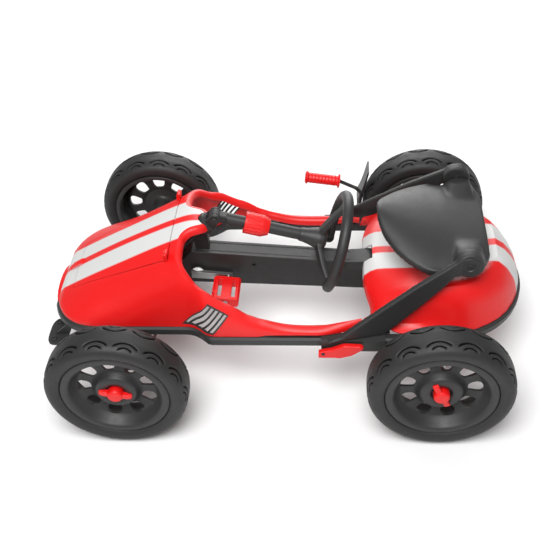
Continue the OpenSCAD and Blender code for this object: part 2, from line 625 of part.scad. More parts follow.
// Wheel parts turn about Z here, with the outside at positive Z
module at_wheel(x, y) translate([x, y, axle_z]) rotate([y > 0 ? -90 : 90, 0, 0]) children();
tw = tyre_w / 2;
bead_r = rim_r - 7;
module tyre() rotate_extrude($fn = 96) difference() {
    polygon([[bead_r + seat_gap, tw - 11.3], [rim_r + seat_gap, tw - 11.3], [rim_r + seat_gap, tw - 6],
        [rim_r + 7, tw - 1], [rim_r + 13, tw], [tyre_r - 14, tw], [tyre_r - 7, tw - 4],
        [tyre_r - 2, tw - 12], [tyre_r, tw - 24], [tyre_r, 24 - tw], [tyre_r - 2, 12 - tw],
        [tyre_r - 7, 4 - tw], [tyre_r - 14, -tw],
        [rim_r + 13, -tw], [rim_r + 7, 1 - tw], [rim_r, 5 - tw], [bead_r + seat_gap, 5.4 - tw]]);
    polygon([[bead_r - 1, 12 - tw], [bead_r + 8, 8 - tw], [tyre_r - 15, 8 - tw], [tyre_r - 8, 16 - tw],
        [tyre_r - 7, 0], [tyre_r - 8, tw - 16], [tyre_r - 15, tw - 8], [bead_r + 12, tw - 10],
        [bead_r - 1, tw - 18]]);
}
module rim(bore) difference() {
    rotate_extrude($fn = 96) polygon([[bore, 12], [19, 12], [19.4, 20], [30, 22], [39, 20], [43, 13],
        [54, 9],
        [70, 13], [86, tw - 10], [90, tw - 5], [rim_r - 2, tw - 5], [rim_r, tw - 7], [rim_r, tw - 11],
        [bead_r, tw - 11], [bead_r, 5 - tw], [rim_r - 1, 5 - tw], [rim_r - 1, 2 - tw], [bead_r - 5, 2 - tw],
        [bead_r - 5, 16], [84, tw - 16], [70, 8], [54, 4.5], [42, 7], [38, 4], [19, 2], [17, 2 - tw],
        [bore, 2 - tw]]);
    for (k = [0 : rim_holes - 1]) rotate([0, 0, 360 * k / rim_holes + 20]) translate([64, 0, -5])
        linear_extrude(40) {
            for (s = [-4, 4]) translate([0, s]) circle(r = 10);
            square([20, 8], center = true);
        }
}
module spinner(a) rotate([0, 0, a]) {
    translate([0, 0, 12 + seat_gap]) cylinder(r = 14, h = 17);
    translate([0, 0, 12 + seat_gap + 17]) cylinder(r1 = 14, r2 = 8, h = 5);
    translate([0, 5, 0]) rotate([90, 0, 0]) linear_extrude(10)
        polygon([[-10, 24], [-20, 26], [-30, 31], [-32.5, tw + 2], [-30, tw + 4], [-24, tw + 3],
            [-12, tw - 2],
            [12, tw - 2], [24, tw + 3], [30, tw + 4], [32.5, tw + 2], [30, 31], [20, 26], [10, 24]]);
}
fy = track_front / 2;
ry = track_rear / 2;
module front_left_tyre() placed() color(black) at_wheel(front_x, fy) tyre();
module front_right_tyre() placed() color(black) at_wheel(front_x, -fy) tyre();
module rear_left_tyre() placed() color(black) at_wheel(rear_x, ry) tyre();
module rear_right_tyre() placed() color(black) at_wheel(rear_x, -ry) tyre();
module front_left_rim() placed() color(dark) at_wheel(front_x, fy) rim(axle_r + run_gap);
module front_right_rim() placed() color(dark) at_wheel(front_x, -fy) rim(axle_r + run_gap);
module rear_left_rim() placed() color(dark) at_wheel(rear_x, ry) rim(axle_r + run_gap);
module rear_right_rim() placed() color(dark) at_wheel(rear_x, -ry) rim(axle_r + run_gap);
module front_left_spinner() placed() color(red) at_wheel(front_x, fy) spinner(0);
module front_right_spinner() placed() color(red) at_wheel(front_x, -fy) spinner(30);
module rear_left_spinner() placed() color(red) at_wheel(rear_x, ry) spinner(40);
module rear_right_spinner() placed() color(red) at_wheel(rear_x, -ry) spinner(-40);

// Rear axle on bushes in hangers below the rails
hanger_y = 168;
module rear_axle() placed() color(steel) translate([rear_x, 0, axle_z]) {
    along_y(axle_r, -ry - 11, ry + 11);
    both_sides() along_y(axle_r + 5, hanger_y + 16, ry - tw - 1);
}
module axle_hangers() placed() color(dark) both_sides() difference() {
    side_plate([[rear_x - 22, rail_low], [rear_x + 24, rail_low], [rear_x + 14, axle_z - 16],
        [rear_x - 14, axle_z - 16]], hanger_y - 8, hanger_y + 8);
    translate([rear_x, 0, axle_z]) along_y(axle_r + 1.5 + seat_gap, 100, 200);
}
module axle_bushes() placed() color(black) both_sides() translate([rear_x, 0, axle_z]) difference() {
    along_y(axle_r + 1.5, hanger_y - 10, hanger_y + 10);
    along_y(axle_r + run_gap, 100, 220);
}
module crossbars() placed() color(dark) both_sides()
    box([-215, beam_half_w, 149], [-185, rail_half_w - rail_w, 165]);

// Crankset: axle through the beam, arms to each side, pedals on pins at their ends
module on_crank() translate([crank_x, 0, crank_z]) rotate([0, -crank_ang, 0]) children();
pedal_in = 42;
pedal_out = 107;
module crank_side() {
    side_plate([[-12, -9], [crank_len + 8, -7], [crank_len + 8, 7], [-12, 9]], 26, 34);
    along_y(crank_axle_r, -2, 28);
    along_y(14, 24, 26.2);
    translate([crank_len, 0, 0]) along_y(pedal_pin_r, 30, pedal_out + 2);
}
module crankset() placed() color(steel) on_crank() {
    crank_side();
    rotate([0, 180, 0]) mirror([0, 1, 0]) crank_side();
}
module pedal() difference() {
    union() {
        side_plate([[-27, -6], [-23, -10], [23, -10], [27, -6], [27, 6], [23, 10], [-23, 10], [-27, 6]],
            pedal_in, pedal_out);
        for (y = [pedal_in + 5 : 10 : pedal_out - 5]) for (s = [-1, 1])
            translate([s * 24, y - 2.5, -8]) cube([4.5, 5, 16]);
    }
    along_y(pedal_pin_r + run_gap, 0, 200);
    for (x = [-18, 10]) translate([x, pedal_in + 8, -20]) cube([8, pedal_out - pedal_in - 16, 40]);
}
module pedal_at(a) translate([crank_x + crank_len * cos(a), 0, crank_z + crank_len * sin(a)]) children();
module left_pedal() placed() color(red) pedal_at(crank_ang) rotate([0, -8, 0]) pedal();
module right_pedal() placed() color(red) pedal_at(crank_ang + 180) rotate([0, -8, 0])
    mirror([0, 1, 0]) pedal();

// Seat frame: shoes that slide on the rails, arms up to the backrest pivot
latch_x = -86;
latch_z = 147;
module shoe() {
    inside = rail_half_w - rail_w + 4;
    outside = rail_half_w + 6;
    box([shoe_rear, rail_half_w + 1, rail_low - 5], [shoe_front, outside, rail_top + 3.4]);
    box([shoe_rear, inside, rail_top + 0.4], [shoe_front, outside - 4, rail_top + 3.4]);
    box([shoe_rear, inside, rail_low - 5], [shoe_front, outside - 4, rail_low - 0.4]);
    translate([latch_x, 0, latch_z]) along_y(3, rail_half_w + 5, rail_half_w + 20);
}
module left_shoe() placed() color(dark) shoe();
module right_shoe() placed() color(dark) mirror([0, 1, 0]) shoe();
arm_outline = [[5, rail_top + 3.4], [-20, 180], [-50, 202], [-97, 236], [-165, 284], [-236, 328],
    [-248, 338],
    [-262, 342], [-280, 322], [-262, 296], [-238, 296], [-190, 247], [-129, 191], [-105, rail_top + 3.4]];
module arm() difference() {
    union() {
        translate([arm_foot_x, arm_foot_y, 0]) rotate([0, 0, arm_yaw]) side_plate(arm_outline, -arm_t, 0);
        translate([back_x, 0, back_z]) along_y(head_r, 123, 144);
    }
    translate([back_x, 0, back_z]) along_y(back_rod_r, 100, 142);
}
module left_arm() placed() color(dark) arm();
module right_arm() placed() color(dark) mirror([0, 1, 0]) arm();
module pivot_pins() placed() color(steel) both_sides() translate([back_x, 0, back_z])
    along_y(back_rod_r, 71, 142);
module latch() difference() {
    side_plate([[-76, 136], [-77, 151], [-101, 157], [-126, 169], [-158, 167], [-164, 163], [-160, 157],
        [-141, 142], [-120, 135]], rail_half_w + 8.5, rail_half_w + 19);
    translate([latch_x, 0, latch_z]) along_y(3 + run_gap, 150, 250);
}
module left_latch() placed() color(red) latch();
module right_latch() placed() color(red) mirror([0, 1, 0]) latch();

// Backrest: panel in the folded position, with the barrel that turns on the rod
back_rows = [-400, -392, -380, -365, -345, -320, -295, -270, -245, -225, -208, -196, -190];
back_half = [[-400, 92], [-392, 112], [-380, 121], [-335, 122], [-318, 130], [-297, 135], [-265, 122],
    [-229, 93],
    [-208, 64], [-196, 42], [-190, 18]];
droop_keys = [[-400, 14], [-356, 18], [-297, 33], [-229, 30], [-200, 19], [-190, 8]];
back_n = 8;
function back_top(x) = 306 + (x + 400) * 39 / 210;
function back_point(i, j) = let(x = back_rows[i], u = (j - back_n) / back_n)
    [x, curve(x, back_half) * u, back_top(x) + 3 - curve(x, droop_keys) * pow(abs(u), 2.2)];
module backrest() placed() color(dark) difference() {
    union() {
        sheet([for (i = [0 : len(back_rows) - 1]) [for (j = [0 : 2 * back_n]) back_point(i, j)]],
            panel_t, function(i, j) true);
        both_sides() translate([back_x, 0, back_z]) {
            along_y(25, 84, 122.4);
            translate([0, 84, 0]) rotate([90, 0, 0]) cylinder(r1 = 25, r2 = 10, h = 34);
        }
    }
    both_sides() translate([back_x, 0, back_z]) {
        along_y(back_rod_r + run_gap, 70, 130);
        along_y(head_r + 1.5, 122.5, 150);
    }
}

// Hand brake on the right: bracket on the rail, bent lever with a pad in front of the tyre
module brake_bracket() placed() color(dark) difference() {
    union() {
        box([-268, -rail_half_w - 26, rail_low + 1], [-148, -rail_half_w - 20, rail_top]);
        box([-268, -rail_half_w - 21, rail_low + 2], [-240, -182, rail_top - 2]);
        translate([brake_x, 0, brake_z]) along_y(10, -rail_half_w - 40, -rail_half_w - 20);
    }
    translate([brake_x, 0, brake_z]) along_y(brake_r + run_gap, -300, -150);
    rail_clear();
}
module rail_clear() mirror([0, 1, 0]) rail();
// The pad's flat rear face comes pad_gap from the tyre when the lever is pulled by brake_turn
pad_at = 21;
pad_gap = 1;
function pad_point(h) = let(r = tyre_r + pad_gap,
    d = [rear_x + r * cos(pad_at) - h * sin(pad_at) - brake_x,
        axle_z + r * sin(pad_at) + h * cos(pad_at) - brake_z])
    [brake_x + d[0] * cos(brake_turn) + d[1] * sin(brake_turn),
        brake_z + d[1] * cos(brake_turn) - d[0] * sin(brake_turn)];
module brake_lever() placed() color(dark) {
    translate([brake_x, 0, brake_z]) along_y(brake_r, -264, -rail_half_w - 20.6);
    bar([[brake_x, -235, brake_z], [-164, -235, 200], [-152, -235, 214], [-116, -235, 233],
        [-48, -235, 244]], 4);
    side_plate(concat([[-155, 151], [-162, 150]], [for (h = [-29, -11, 11, 24, 52]) pad_point(h)],
        [[-178.5, 240], [-170.5, 207], [-164.5, 187], [-156, 166]]), -300, -255);
}
module brake_grip() placed() color(red) translate([-116, -235, 233])
    rotate([0, 90 - atan2(11, 68), 0]) difference() {
        union() {
            cylinder(r = 11, h = 74);
            cylinder(r = 16, h = 4);
            translate([0, 0, 72]) cylinder(r1 = 16, r2 = 12, h = 6);
            for (k = [1 : 8]) translate([0, 0, 4 + 7.4 * k]) cylinder(r = 12, h = 3);
        }
        translate([0, 0, -1]) cylinder(r = 4, h = norm([68, 11]) + 1);
    }

// Hood hinges: lugs on the body with pins through the barrels of the hood
module hood_hinges() placed() color(red) both_sides() {
    translate([hinge_x, 0, hinge_z]) {
        along_y(2, 86.5, 104);
        along_y(4.5, 99, 104);
    }
    side_plate([for (d = [-4, 4]) [hinge_x + d, over_body(hinge_x + d, 99.6) + seat_gap],
        [hinge_x + 4, hinge_z - 2], [hinge_x - 4, hinge_z - 2]], 99.6, 102.6);
}

main_beam();
beam_cover();
crank_bushes();
chain();
left_rail();
right_rail();
nose_tray();
tail_tray();
front_body();
rear_body();
nose_ring();
grille();
left_vent();
right_vent();
front_axle_beam();
kingpins();
bumper_brackets();
axle_hangers();
axle_bushes();
steering_socket();
crossbars();
brake_bracket();
hood_hinges();
hood_panel();
column_tube();
fold_pin();
steering_wheel();
lock_sleeve();
lower_shaft();
track_rod();
left_knuckle();
right_knuckle();
front_left_tyre();
front_left_rim();
front_left_spinner();
front_right_tyre();
front_right_rim();
front_right_spinner();
rear_left_tyre();
rear_left_rim();
rear_left_spinner();
rear_right_tyre();
rear_right_rim();
rear_right_spinner();
rear_axle();
rear_sprocket();
crankset();
chainring();
left_pedal();
right_pedal();
left_arm();
right_arm();
left_shoe();
right_shoe();
pivot_pins();
left_latch();
right_latch();
backrest();
brake_lever();
brake_grip();
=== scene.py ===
"""Looks of the pedal go kart: dressed copies of the CAD solids, materials, floor, light and camera."""
import json
import math

import bmesh
import bpy
import numpy as np
from mathutils import Matrix, Vector


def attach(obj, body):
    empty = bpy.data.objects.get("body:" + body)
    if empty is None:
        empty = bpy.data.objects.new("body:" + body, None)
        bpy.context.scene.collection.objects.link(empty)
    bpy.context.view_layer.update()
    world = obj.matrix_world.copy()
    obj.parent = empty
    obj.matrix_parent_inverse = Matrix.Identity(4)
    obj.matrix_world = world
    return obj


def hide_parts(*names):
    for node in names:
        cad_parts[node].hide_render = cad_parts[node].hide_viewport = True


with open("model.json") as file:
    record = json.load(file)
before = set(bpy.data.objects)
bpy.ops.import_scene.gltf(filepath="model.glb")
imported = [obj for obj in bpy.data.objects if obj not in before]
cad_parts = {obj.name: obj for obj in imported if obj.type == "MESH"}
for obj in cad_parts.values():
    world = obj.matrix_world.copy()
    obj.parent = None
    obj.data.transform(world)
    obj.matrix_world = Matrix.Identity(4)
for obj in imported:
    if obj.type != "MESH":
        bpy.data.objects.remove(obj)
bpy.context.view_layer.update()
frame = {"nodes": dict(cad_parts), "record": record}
NODES = frame["nodes"]
RECORD = frame["record"]
SLOT_OF = {s["node"]: s["material_slot"] for s in RECORD["subparts"]}
BODY_OF = {n: b for b, ns in RECORD["behaviour"]["bodies"].items() for n in ns}

# Places in metres; x is counted from the middle of the wheelbase
SHIFT_X = 0.0015            # x of that middle in the part's frame
STRIPE_IN = 0.0092          # twin stripes on the body, from the middle line
STRIPE_OUT = 0.058
STRIPE_BLUR = 0.0003
AXLE_Z = 0.1375
WHEELS = {"front_left": (0.3055, 0.278), "front_right": (0.3055, -0.278),
          "rear_left": (-0.3055, 0.274), "rear_right": (-0.3055, -0.274)}
PIVOT = Vector((0.129 + SHIFT_X, 0, 0.3255))        # fold joint of the steering column
FOLD = 16.0                                         # slope of the folded column, degrees
SHAFT = Matrix.Translation(PIVOT) @ Matrix.Rotation(math.radians(135), 4, "Y")      # down the lower shaft
BACK_X, BACK_Z = -0.356, 0.318                      # hinge axis of the backrest
EYE = Matrix.Identity(4)


# Shader nodes
MIX_A, MIX_B, MIX_OUT = 6, 7, 2     # colour sockets of the mix node


def add(tree, kind, **values):
    """A new node with its inputs or settings filled in."""
    node = tree.nodes.new(kind)
    for key, value in values.items():
        if key in node.inputs:
            node.inputs[key].default_value = value
        else:
            setattr(node, key, value)
    return node


def link(tree, a, out, b, into):
    """Joins an output of node a to an input of node b."""
    tree.links.new(a.outputs[out], b.inputs[into])


def ramp(tree, source, out, stops):
    """A colour ramp on an output of a node."""
    node = add(tree, "ShaderNodeValToRGB")
    link(tree, source, out, node, "Fac")
    ramp_stops = node.color_ramp.elements
    while len(ramp_stops) < len(stops):
        ramp_stops.new(0.5)
    for stop, (pos, color) in zip(ramp_stops, stops):
        stop.position = pos
        stop.color = (*color, 1)
    return node


def grey(v):
    """A grey of one value."""
    return (v, v, v)


def mixed(tree, factor, out, base, color):
    """Turns the colour of a socket into another colour by a factor, and gives the new socket."""
    mix = add(tree, "ShaderNodeMix", data_type="RGBA")
    link(tree, factor, out, mix, "Factor")
    tree.links.new(base, mix.inputs[MIX_A])
    mix.inputs[MIX_B].default_value = (*color, 1)
    return mix.outputs[MIX_OUT]


def product(tree, a, out, b=None, b_out=None, value=1.0):
    """A node's output times another node's output, or times a value."""
    node = add(tree, "ShaderNodeMath", operation="MULTIPLY")
    link(tree, a, out, node, 0)
    if b is None:
        node.inputs[1].default_value = value
    else:
        link(tree, b, b_out, node, 1)
    return node


# Materials
SCUFF_SCALE = 70.0                  # noise of scuffs and gloss, per metre
EDGE_FROM, EDGE_TO = 0.52, 0.60     # pointiness at which an edge begins to show wear, and is worn
GRAIN_DEPTH = 0.0006
GROOVE_FROM, GROOVE_TO = 0.15, 0.7  # share of the tread's depth where the painted shade in the grooves begins, and is full
# Painted shade: near-black colour laid into the tread's grooves
GROOVE_SHADE_COLOUR = (0.002, 0.002, 0.002)


def surface(name, low, high, rough, grain=900.0, bump=0.08, patch=6.0, worn=0.12, **sockets):
    """Principled material: slow colour patches, a roughness range, moulded grain and paler worn edges."""
    mat = bpy.data.materials.new(name)
    mat.use_nodes = True
    tree = mat.node_tree
    shader = tree.nodes["Principled BSDF"]
    for key, value in sockets.items():
        shader.inputs[key].default_value = value
    where = add(tree, "ShaderNodeTexCoord")
    slow = add(tree, "ShaderNodeTexNoise", Scale=patch, Detail=5.0, Roughness=0.6)
    fine = add(tree, "ShaderNodeTexNoise", Scale=grain, Detail=2.0, Roughness=0.5)
    scuff = add(tree, "ShaderNodeTexNoise", Scale=SCUFF_SCALE, Detail=6.0, Roughness=0.7)
    for noise in (slow, fine, scuff):
        link(tree, where, "Object", noise, "Vector")
    tint = ramp(tree, slow, "Fac", [(0.3, low), (0.7, high)])
    shape = add(tree, "ShaderNodeNewGeometry")
    edge = ramp(tree, shape, "Pointiness", [(EDGE_FROM, grey(0)), (EDGE_TO, grey(1))])
    patchy = product(tree, edge, "Color", scuff, "Fac")
    amount = product(tree, patchy, 0, value=worn)
    pale = tuple(min(1.0, 0.12 + 1.3 * c) for c in high)
    tree.links.new(mixed(tree, amount, 0, tint.outputs["Color"], pale), shader.inputs["Base Color"])
    gloss = ramp(tree, scuff, "Fac", [(0.3, grey(rough[0])), (0.75, grey(rough[1]))])
    link(tree, gloss, "Color", shader, "Roughness")
    relief = add(tree, "ShaderNodeBump", Strength=bump, Distance=GRAIN_DEPTH)
    link(tree, fine, "Fac", relief, "Height")
    link(tree, relief, "Normal", shader, "Normal")
    return mat


def recolour(tree, factor, color):
    """Mixes a colour into a material's base colour by a ramp."""
    socket = tree.nodes["Principled BSDF"].inputs["Base Color"]
    tree.links.new(mixed(tree, factor, "Color", socket.links[0].from_socket, color), socket)


def striped(mat, white):
    """The same surface with the two white stripes that run along the middle of the body."""
    new = mat.copy()
    new.name = mat.name + "_striped"
    tree = new.node_tree
    where = next(n for n in tree.nodes if n.type == "TEX_COORD")
    split = add(tree, "ShaderNodeSeparateXYZ")
    link(tree, where, "Object", split, "Vector")
    side = add(tree, "ShaderNodeMath", operation="ABSOLUTE")
    link(tree, split, "Y", side, 0)
    band = ramp(tree, side, 0, [(STRIPE_IN - STRIPE_BLUR, grey(0)), (STRIPE_IN + STRIPE_BLUR, grey(1)),
                                (STRIPE_OUT - STRIPE_BLUR, grey(1)), (STRIPE_OUT + STRIPE_BLUR, grey(0))])
    recolour(tree, band, white)
    return new


def groove_shaded(mat):
    """Painted shade in the tread's grooves: darker colour and less specular reflection, by the mesh's tread
    depth.
    """
    tree = mat.node_tree
    depth = add(tree, "ShaderNodeAttribute", attribute_name="tread")
    # Painted shade: the grooves darken and lose specular reflection with the tread's depth
    recolour(tree, ramp(tree, depth, "Fac", [(GROOVE_FROM, grey(0)), (GROOVE_TO, grey(0.85))]), GROOVE_SHADE_COLOUR)
    groove_specular_cut = ramp(tree, depth, "Fac", [(GROOVE_FROM, grey(0.5)), (GROOVE_TO, grey(0.05))])
    link(tree, groove_specular_cut, "Color", tree.nodes["Principled BSDF"], "Specular IOR Level")
    return mat


RED = surface("red_plastic", (0.74, 0.004, 0.004), (0.80, 0.006, 0.006), (0.38, 0.48), bump=0.05, worn=0.06,
              **{"Specular IOR Level": 0.5})
RED_STRIPED = striped(RED, (0.64, 0.64, 0.63))
DARK = surface("dark_plastic", grey(0.020), grey(0.026), (0.46, 0.58), bump=0.12)
BLACK = surface("black_plastic", grey(0.011), grey(0.015), (0.50, 0.64), bump=0.10)
PAINT = surface("dark_paint", grey(0.018), grey(0.024), (0.42, 0.54), grain=500.0, bump=0.05)
STEEL = surface("steel", grey(0.42), grey(0.50), (0.28, 0.42), grain=1500.0, bump=0.05, Metallic=1.0)
# Tyre rubber with painted shade in the tread's grooves
TYRE = groove_shaded(surface("tyre_rubber", grey(0.014), grey(0.018), (0.52, 0.66), grain=1200.0, bump=0.15))
MATERIAL = {"red_plastic": RED, "dark_plastic": DARK, "black_plastic": BLACK,
            "dark_paint": PAINT, "steel": STEEL, "tyre_rubber": TYRE}
FINISH = {"lower_shaft": "dark_paint", "fold_pin": "dark_paint", "main_beam": "black_plastic"}
SHELLS = ("front_body", "rear_body", "hood_panel")


# Pieces and the CAD nodes that they stand for
JOIN = 1e-6                 # corners closer than this are one
FLAT = 0.5                  # faces that meet within this many degrees are one flat
SHARP = 28.0                # edges over this many degrees stay sharp in shading
BEVEL_OVER = 40.0           # edges over this many degrees get a round
# Nodes that keep their triangles: the curved shells, and the tray, whose flats reach round its open front
UNMERGED = SHELLS + ("tail_tray",)
# Width of the rounded edges of each material
EDGE = {"red_plastic": 0.0012, "dark_plastic": 0.0012, "dark_paint": 0.0010, "steel": 0.0005,
        "black_plastic": 0.0006, "tyre_rubber": 0.0015}
# Mouldings with soft corners: the size of the new skin's cells and how often it is relaxed
MOULDED = {"brake_grip": (0.0014, 12), "hood_hinges": (0.0010, 9), "left_arm": (0.0022, 6),
           "right_arm": (0.0022, 6), "left_latch": (0.0013, 8), "right_latch": (0.0013, 8),
           "nose_ring": (0.0016, 8), "column_tube": (0.0014, 6), "lower_shaft": (0.0014, 5)}


def in_scene(name, mesh):
    """A new object around a mesh."""
    obj = bpy.data.objects.new(name, mesh)
    bpy.context.collection.objects.link(obj)
    return obj


def rounded_edges(obj, width, over):
    """Rounds the edges of an object that are sharper than an angle."""
    mod = obj.modifiers.new("edges", "BEVEL")
    mod.limit_method = "ANGLE"
    mod.angle_limit = math.radians(over)
    mod.width = width
    mod.segments = 2


def piece(name, mesh, node, slot, bevel=0.0, replaces=True):
    """An object around a mesh, with its material, its body and the CAD node that it stands for."""
    obj = in_scene(name, mesh)
    mesh.materials.clear()
    mesh.materials.append(RED_STRIPED if node in SHELLS else MATERIAL[slot])
    if bevel:
        rounded_edges(obj, bevel, BEVEL_OVER)
    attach(obj, BODY_OF[node])
    if replaces:
        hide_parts(node)
    return obj


def slot_for(node):
    """Material slot that a node shows."""
    return FINISH.get(node, SLOT_OF[node])


def smooth(bm, sharp=SHARP):
    """Smooth shading, with the edges over an angle kept sharp."""
    for face in bm.faces:
        face.smooth = True
    for edge in bm.edges:
        edge.smooth = len(edge.link_faces) == 2 and edge.calc_face_angle(0) < math.radians(sharp)


def shade(mesh, sharp):
    """Smooth shading of a finished mesh."""
    bm = bmesh.new()
    bm.from_mesh(mesh)
    smooth(bm, sharp)
    bm.to_mesh(mesh)
    bm.free()


def evaluated(obj):
    """A new mesh with the object's modifiers in it."""
    return bpy.data.meshes.new_from_object(obj.evaluated_get(bpy.context.evaluated_depsgraph_get()))


def fused(name, mesh, voxel, rounds):
    """The closed parts of a mesh joined into one skin with soft corners."""
    obj = in_scene(name, mesh)
    remesh = obj.modifiers.new("remesh", "REMESH")
    remesh.mode = "VOXEL"
    remesh.voxel_size = voxel
    relax = obj.modifiers.new("relax", "SMOOTH")
    relax.factor = 0.5
    relax.iterations = rounds
    new = evaluated(obj)
    bpy.data.objects.remove(obj)
    bpy.data.meshes.remove(mesh)
    new.shade_smooth()
    return new


def dressed(node):
    """A copy of a CAD node with merged flats, soft edges and smooth shading."""
    slot = slot_for(node)
    mesh = NODES[node].data.copy()
    bm = bmesh.new()
    bm.from_mesh(mesh)
    bmesh.ops.remove_doubles(bm, verts=bm.verts, dist=JOIN)
    if node not in UNMERGED:
        bmesh.ops.dissolve_limit(bm, angle_limit=math.radians(FLAT), verts=bm.verts, edges=bm.edges)
    smooth(bm)
    bm.to_mesh(mesh)
    bm.free()
    return piece("look_" + node, mesh, node, slot, 0.0 if node in SHELLS else EDGE[slot])


def moulded(node, voxel, rounds):
    """A CAD node with a new relaxed skin, so that its corners get the soft radii of a moulding."""
    bm = bmesh.new()
    bm.from_mesh(NODES[node].data)
    bmesh.ops.remove_doubles(bm, verts=bm.verts, dist=JOIN)
    rough = bpy.data.meshes.new("rough_" + node)
    bm.to_mesh(rough)
    bm.free()
    return piece("look_" + node, fused("rough_" + node, rough, voxel, rounds), node, slot_for(node))


# Solids from outlines and profiles
CORNER_CUT = 0.2            # share of a side that one rounding takes off each end


def turned(profile, steps=96):
    """Vertices and faces of a closed profile (radius, height) turned about the Z axis."""
    m = len(profile)
    pts = [(r * math.cos(2 * math.pi * k / steps), r * math.sin(2 * math.pi * k / steps), h)
           for k in range(steps) for r, h in profile]
    faces = [(k * m + j, k * m + (j + 1) % m, (k + 1) % steps * m + (j + 1) % m, (k + 1) % steps * m + j)
             for k in range(steps) for j in range(m)]
    return pts, faces


def between(a, b, t):
    """Point t of the way from a to b."""
    return tuple((1 - t) * u + t * v for u, v in zip(a, b))


def rounded(points, rounds):
    """A closed outline with its corners cut a few times."""
    for _ in range(rounds):
        sides = list(zip(points, points[1:] + points[:1]))
        points = [between(a, b, t) for a, b in sides for t in (CORNER_CUT, 1 - CORNER_CUT)]
    return points


def in_metres(outline):
    """An outline in metres from one in millimetres."""
    return [(x / 1000, y / 1000) for x, y in outline]


def prism(outline, low, high):
    """Closed prism of an outline in the XY plane."""
    n = len(outline)
    pts = [(x, y, low) for x, y in outline] + [(x, y, high) for x, y in outline]
    faces = [tuple(range(n))[::-1], tuple(range(n, 2 * n))]
    return pts, faces + [(k, (k + 1) % n, n + (k + 1) % n, n + k) for k in range(n)]


def upright(hand=1, x=0.0):
    """Stands an outline drawn as (x, z) up, with its thickness along Y to one hand."""
    return Matrix(((1, 0, 0, x), (0, 0, hand, 0), (0, 1, 0, 0), (0, 0, 0, 1)))


def outward(hand):
    """Turns Z outward, to the left (1) or to the right (-1)."""
    return Matrix.Rotation(math.radians(-90 * hand), 4, "X")


def solid(name, parts, place=None):
    """A mesh of closed parts (vertices, faces), each moved by its matrix and then all by place."""
    bm = bmesh.new()
    for pts, faces, where in parts:
        verts = [bm.verts.new(where @ Vector(p)) for p in pts]
        for face in faces:
            if len({verts[k] for k in face}) > 2:
                bm.faces.new([verts[k] for k in face])
    bmesh.ops.remove_doubles(bm, verts=bm.verts, dist=1e-7)
    bmesh.ops.dissolve_degenerate(bm, edges=bm.edges, dist=1e-7)
    bmesh.ops.recalc_face_normals(bm, faces=bm.faces)
    if place is not None:
        bm.transform(place)
    mesh = bpy.data.meshes.new(name)
    bm.to_mesh(mesh)
    bm.free()
    return mesh


def walled(obj, thickness):
    """Gives a skin a wall on its inner side."""
    wall = obj.modifiers.new("wall", "SOLIDIFY")
    wall.thickness = thickness
    wall.offset = -1


def cut_by(obj, cutter):
    """Cuts a mesh out of an object."""
    cut = obj.modifiers.new("window", "BOOLEAN")
    cut.operation = "DIFFERENCE"
    cut.solver = "EXACT"
    cut.object = in_scene(cutter.name, cutter)


def settle(obj):
    """Puts the modifiers' result into the mesh and removes the cutters."""
    cutters = [m.object for m in obj.modifiers if m.type == "BOOLEAN"]
    mesh = evaluated(obj)
    obj.modifiers.clear()
    shade(mesh, 40.0)
    obj.data = mesh
    for cutter in cutters:
        bpy.data.objects.remove(cutter)


# Tyres: a grid around the wheel, with the tread pattern pressed into it
TYRE_R = 0.1375
# Half of the section as (radius, offset), from the bead to the crown, and the bead's other end
TYRE_PROFILE = [(0.0983, 0.0247), (0.1053, 0.0247), (0.1053, 0.0300), (0.1070, 0.0318), (0.1120, 0.0350),
                (0.1180, 0.0360), (0.1235, 0.0360), (0.1305, 0.0320), (0.1355, 0.0240), (TYRE_R, 0.0120)]
INNER_BEAD = [(0.1050, -0.0300), (0.1050, -0.0310), (0.0983, -0.0306)]
SECTION_STEP = 0.0013
TYRE_STEPS = 480
PITCHES = 15
TREAD_DEPTH = 0.0032
# Bent grooves of each half: reach along the tyre, distance from the crown's middle, bend and half width
GROOVES = ((0.0245, 0.0130, 17.0, 0.0027), (0.0150, 0.0230, 30.0, 0.0017))
GROOVE_END = 0.004


def tyre_section():
    """Points (radius, offset) around the section, and how far each lies from the crown's middle along it."""
    half = TYRE_PROFILE + [(TYRE_R, 0.0)]
    fine = half[:3]
    for a, b in zip(half[2:-1], half[3:]):
        steps = max(1, round(math.dist(a, b) / SECTION_STEP))
        fine += [between(a, b, k / steps) for k in range(1, steps + 1)]
    pts = np.array(fine)
    for _ in range(6):
        pts[4:-1] += 0.5 * (0.5 * (pts[3:-2] + pts[5:]) - pts[4:-1])
    gaps = np.hypot(*np.diff(pts, axis=0).T)
    along = np.concatenate([np.cumsum(gaps[::-1])[::-1], [0.0]])
    inner = pts[-2::-1] * (1, -1)
    inner[-3:] = INNER_BEAD
    return np.vstack([pts, inner]), np.concatenate([along, -along[-2::-1]])


def groove(s, w, reach, start, bend, width):
    """How deep (0 to 1) a bent groove is at s along the tyre and w across it."""
    line = start + s * s * bend
    away = np.abs(w - line) / np.sqrt(1 + (2 * s * bend) ** 2)
    ends = np.clip((reach - np.abs(s)) / GROOVE_END, 0, 1)
    return np.clip(1.5 - away / width * 1.5, 0, 1) ** 0.8 * ends


def tread(angle, along):
    """Depth (0 to 1) of the tread at each angle and each point of the section; the halves are staggered."""
    pitch = 2 * math.pi / PITCHES
    depth = np.zeros((len(angle), len(along)))
    for hand, offset in ((1, 0.0), (-1, 0.5)):
        s = ((angle / pitch + offset) % 1.0 - 0.5) * pitch * TYRE_R
        for shape in GROOVES:
            depth = np.maximum(depth, groove(s[:, None], (hand * along)[None, :], *shape))
    return depth


def section_normals(section):
    """Outward directions at the points of a closed section."""
    tangent = np.roll(section, -1, axis=0) - np.roll(section, 1, axis=0)
    normal = np.stack([-tangent[:, 1], tangent[:, 0]], axis=1)
    normal /= np.linalg.norm(normal, axis=1)[:, None]
    return normal * np.sign(normal[len(section) // 2, 0])


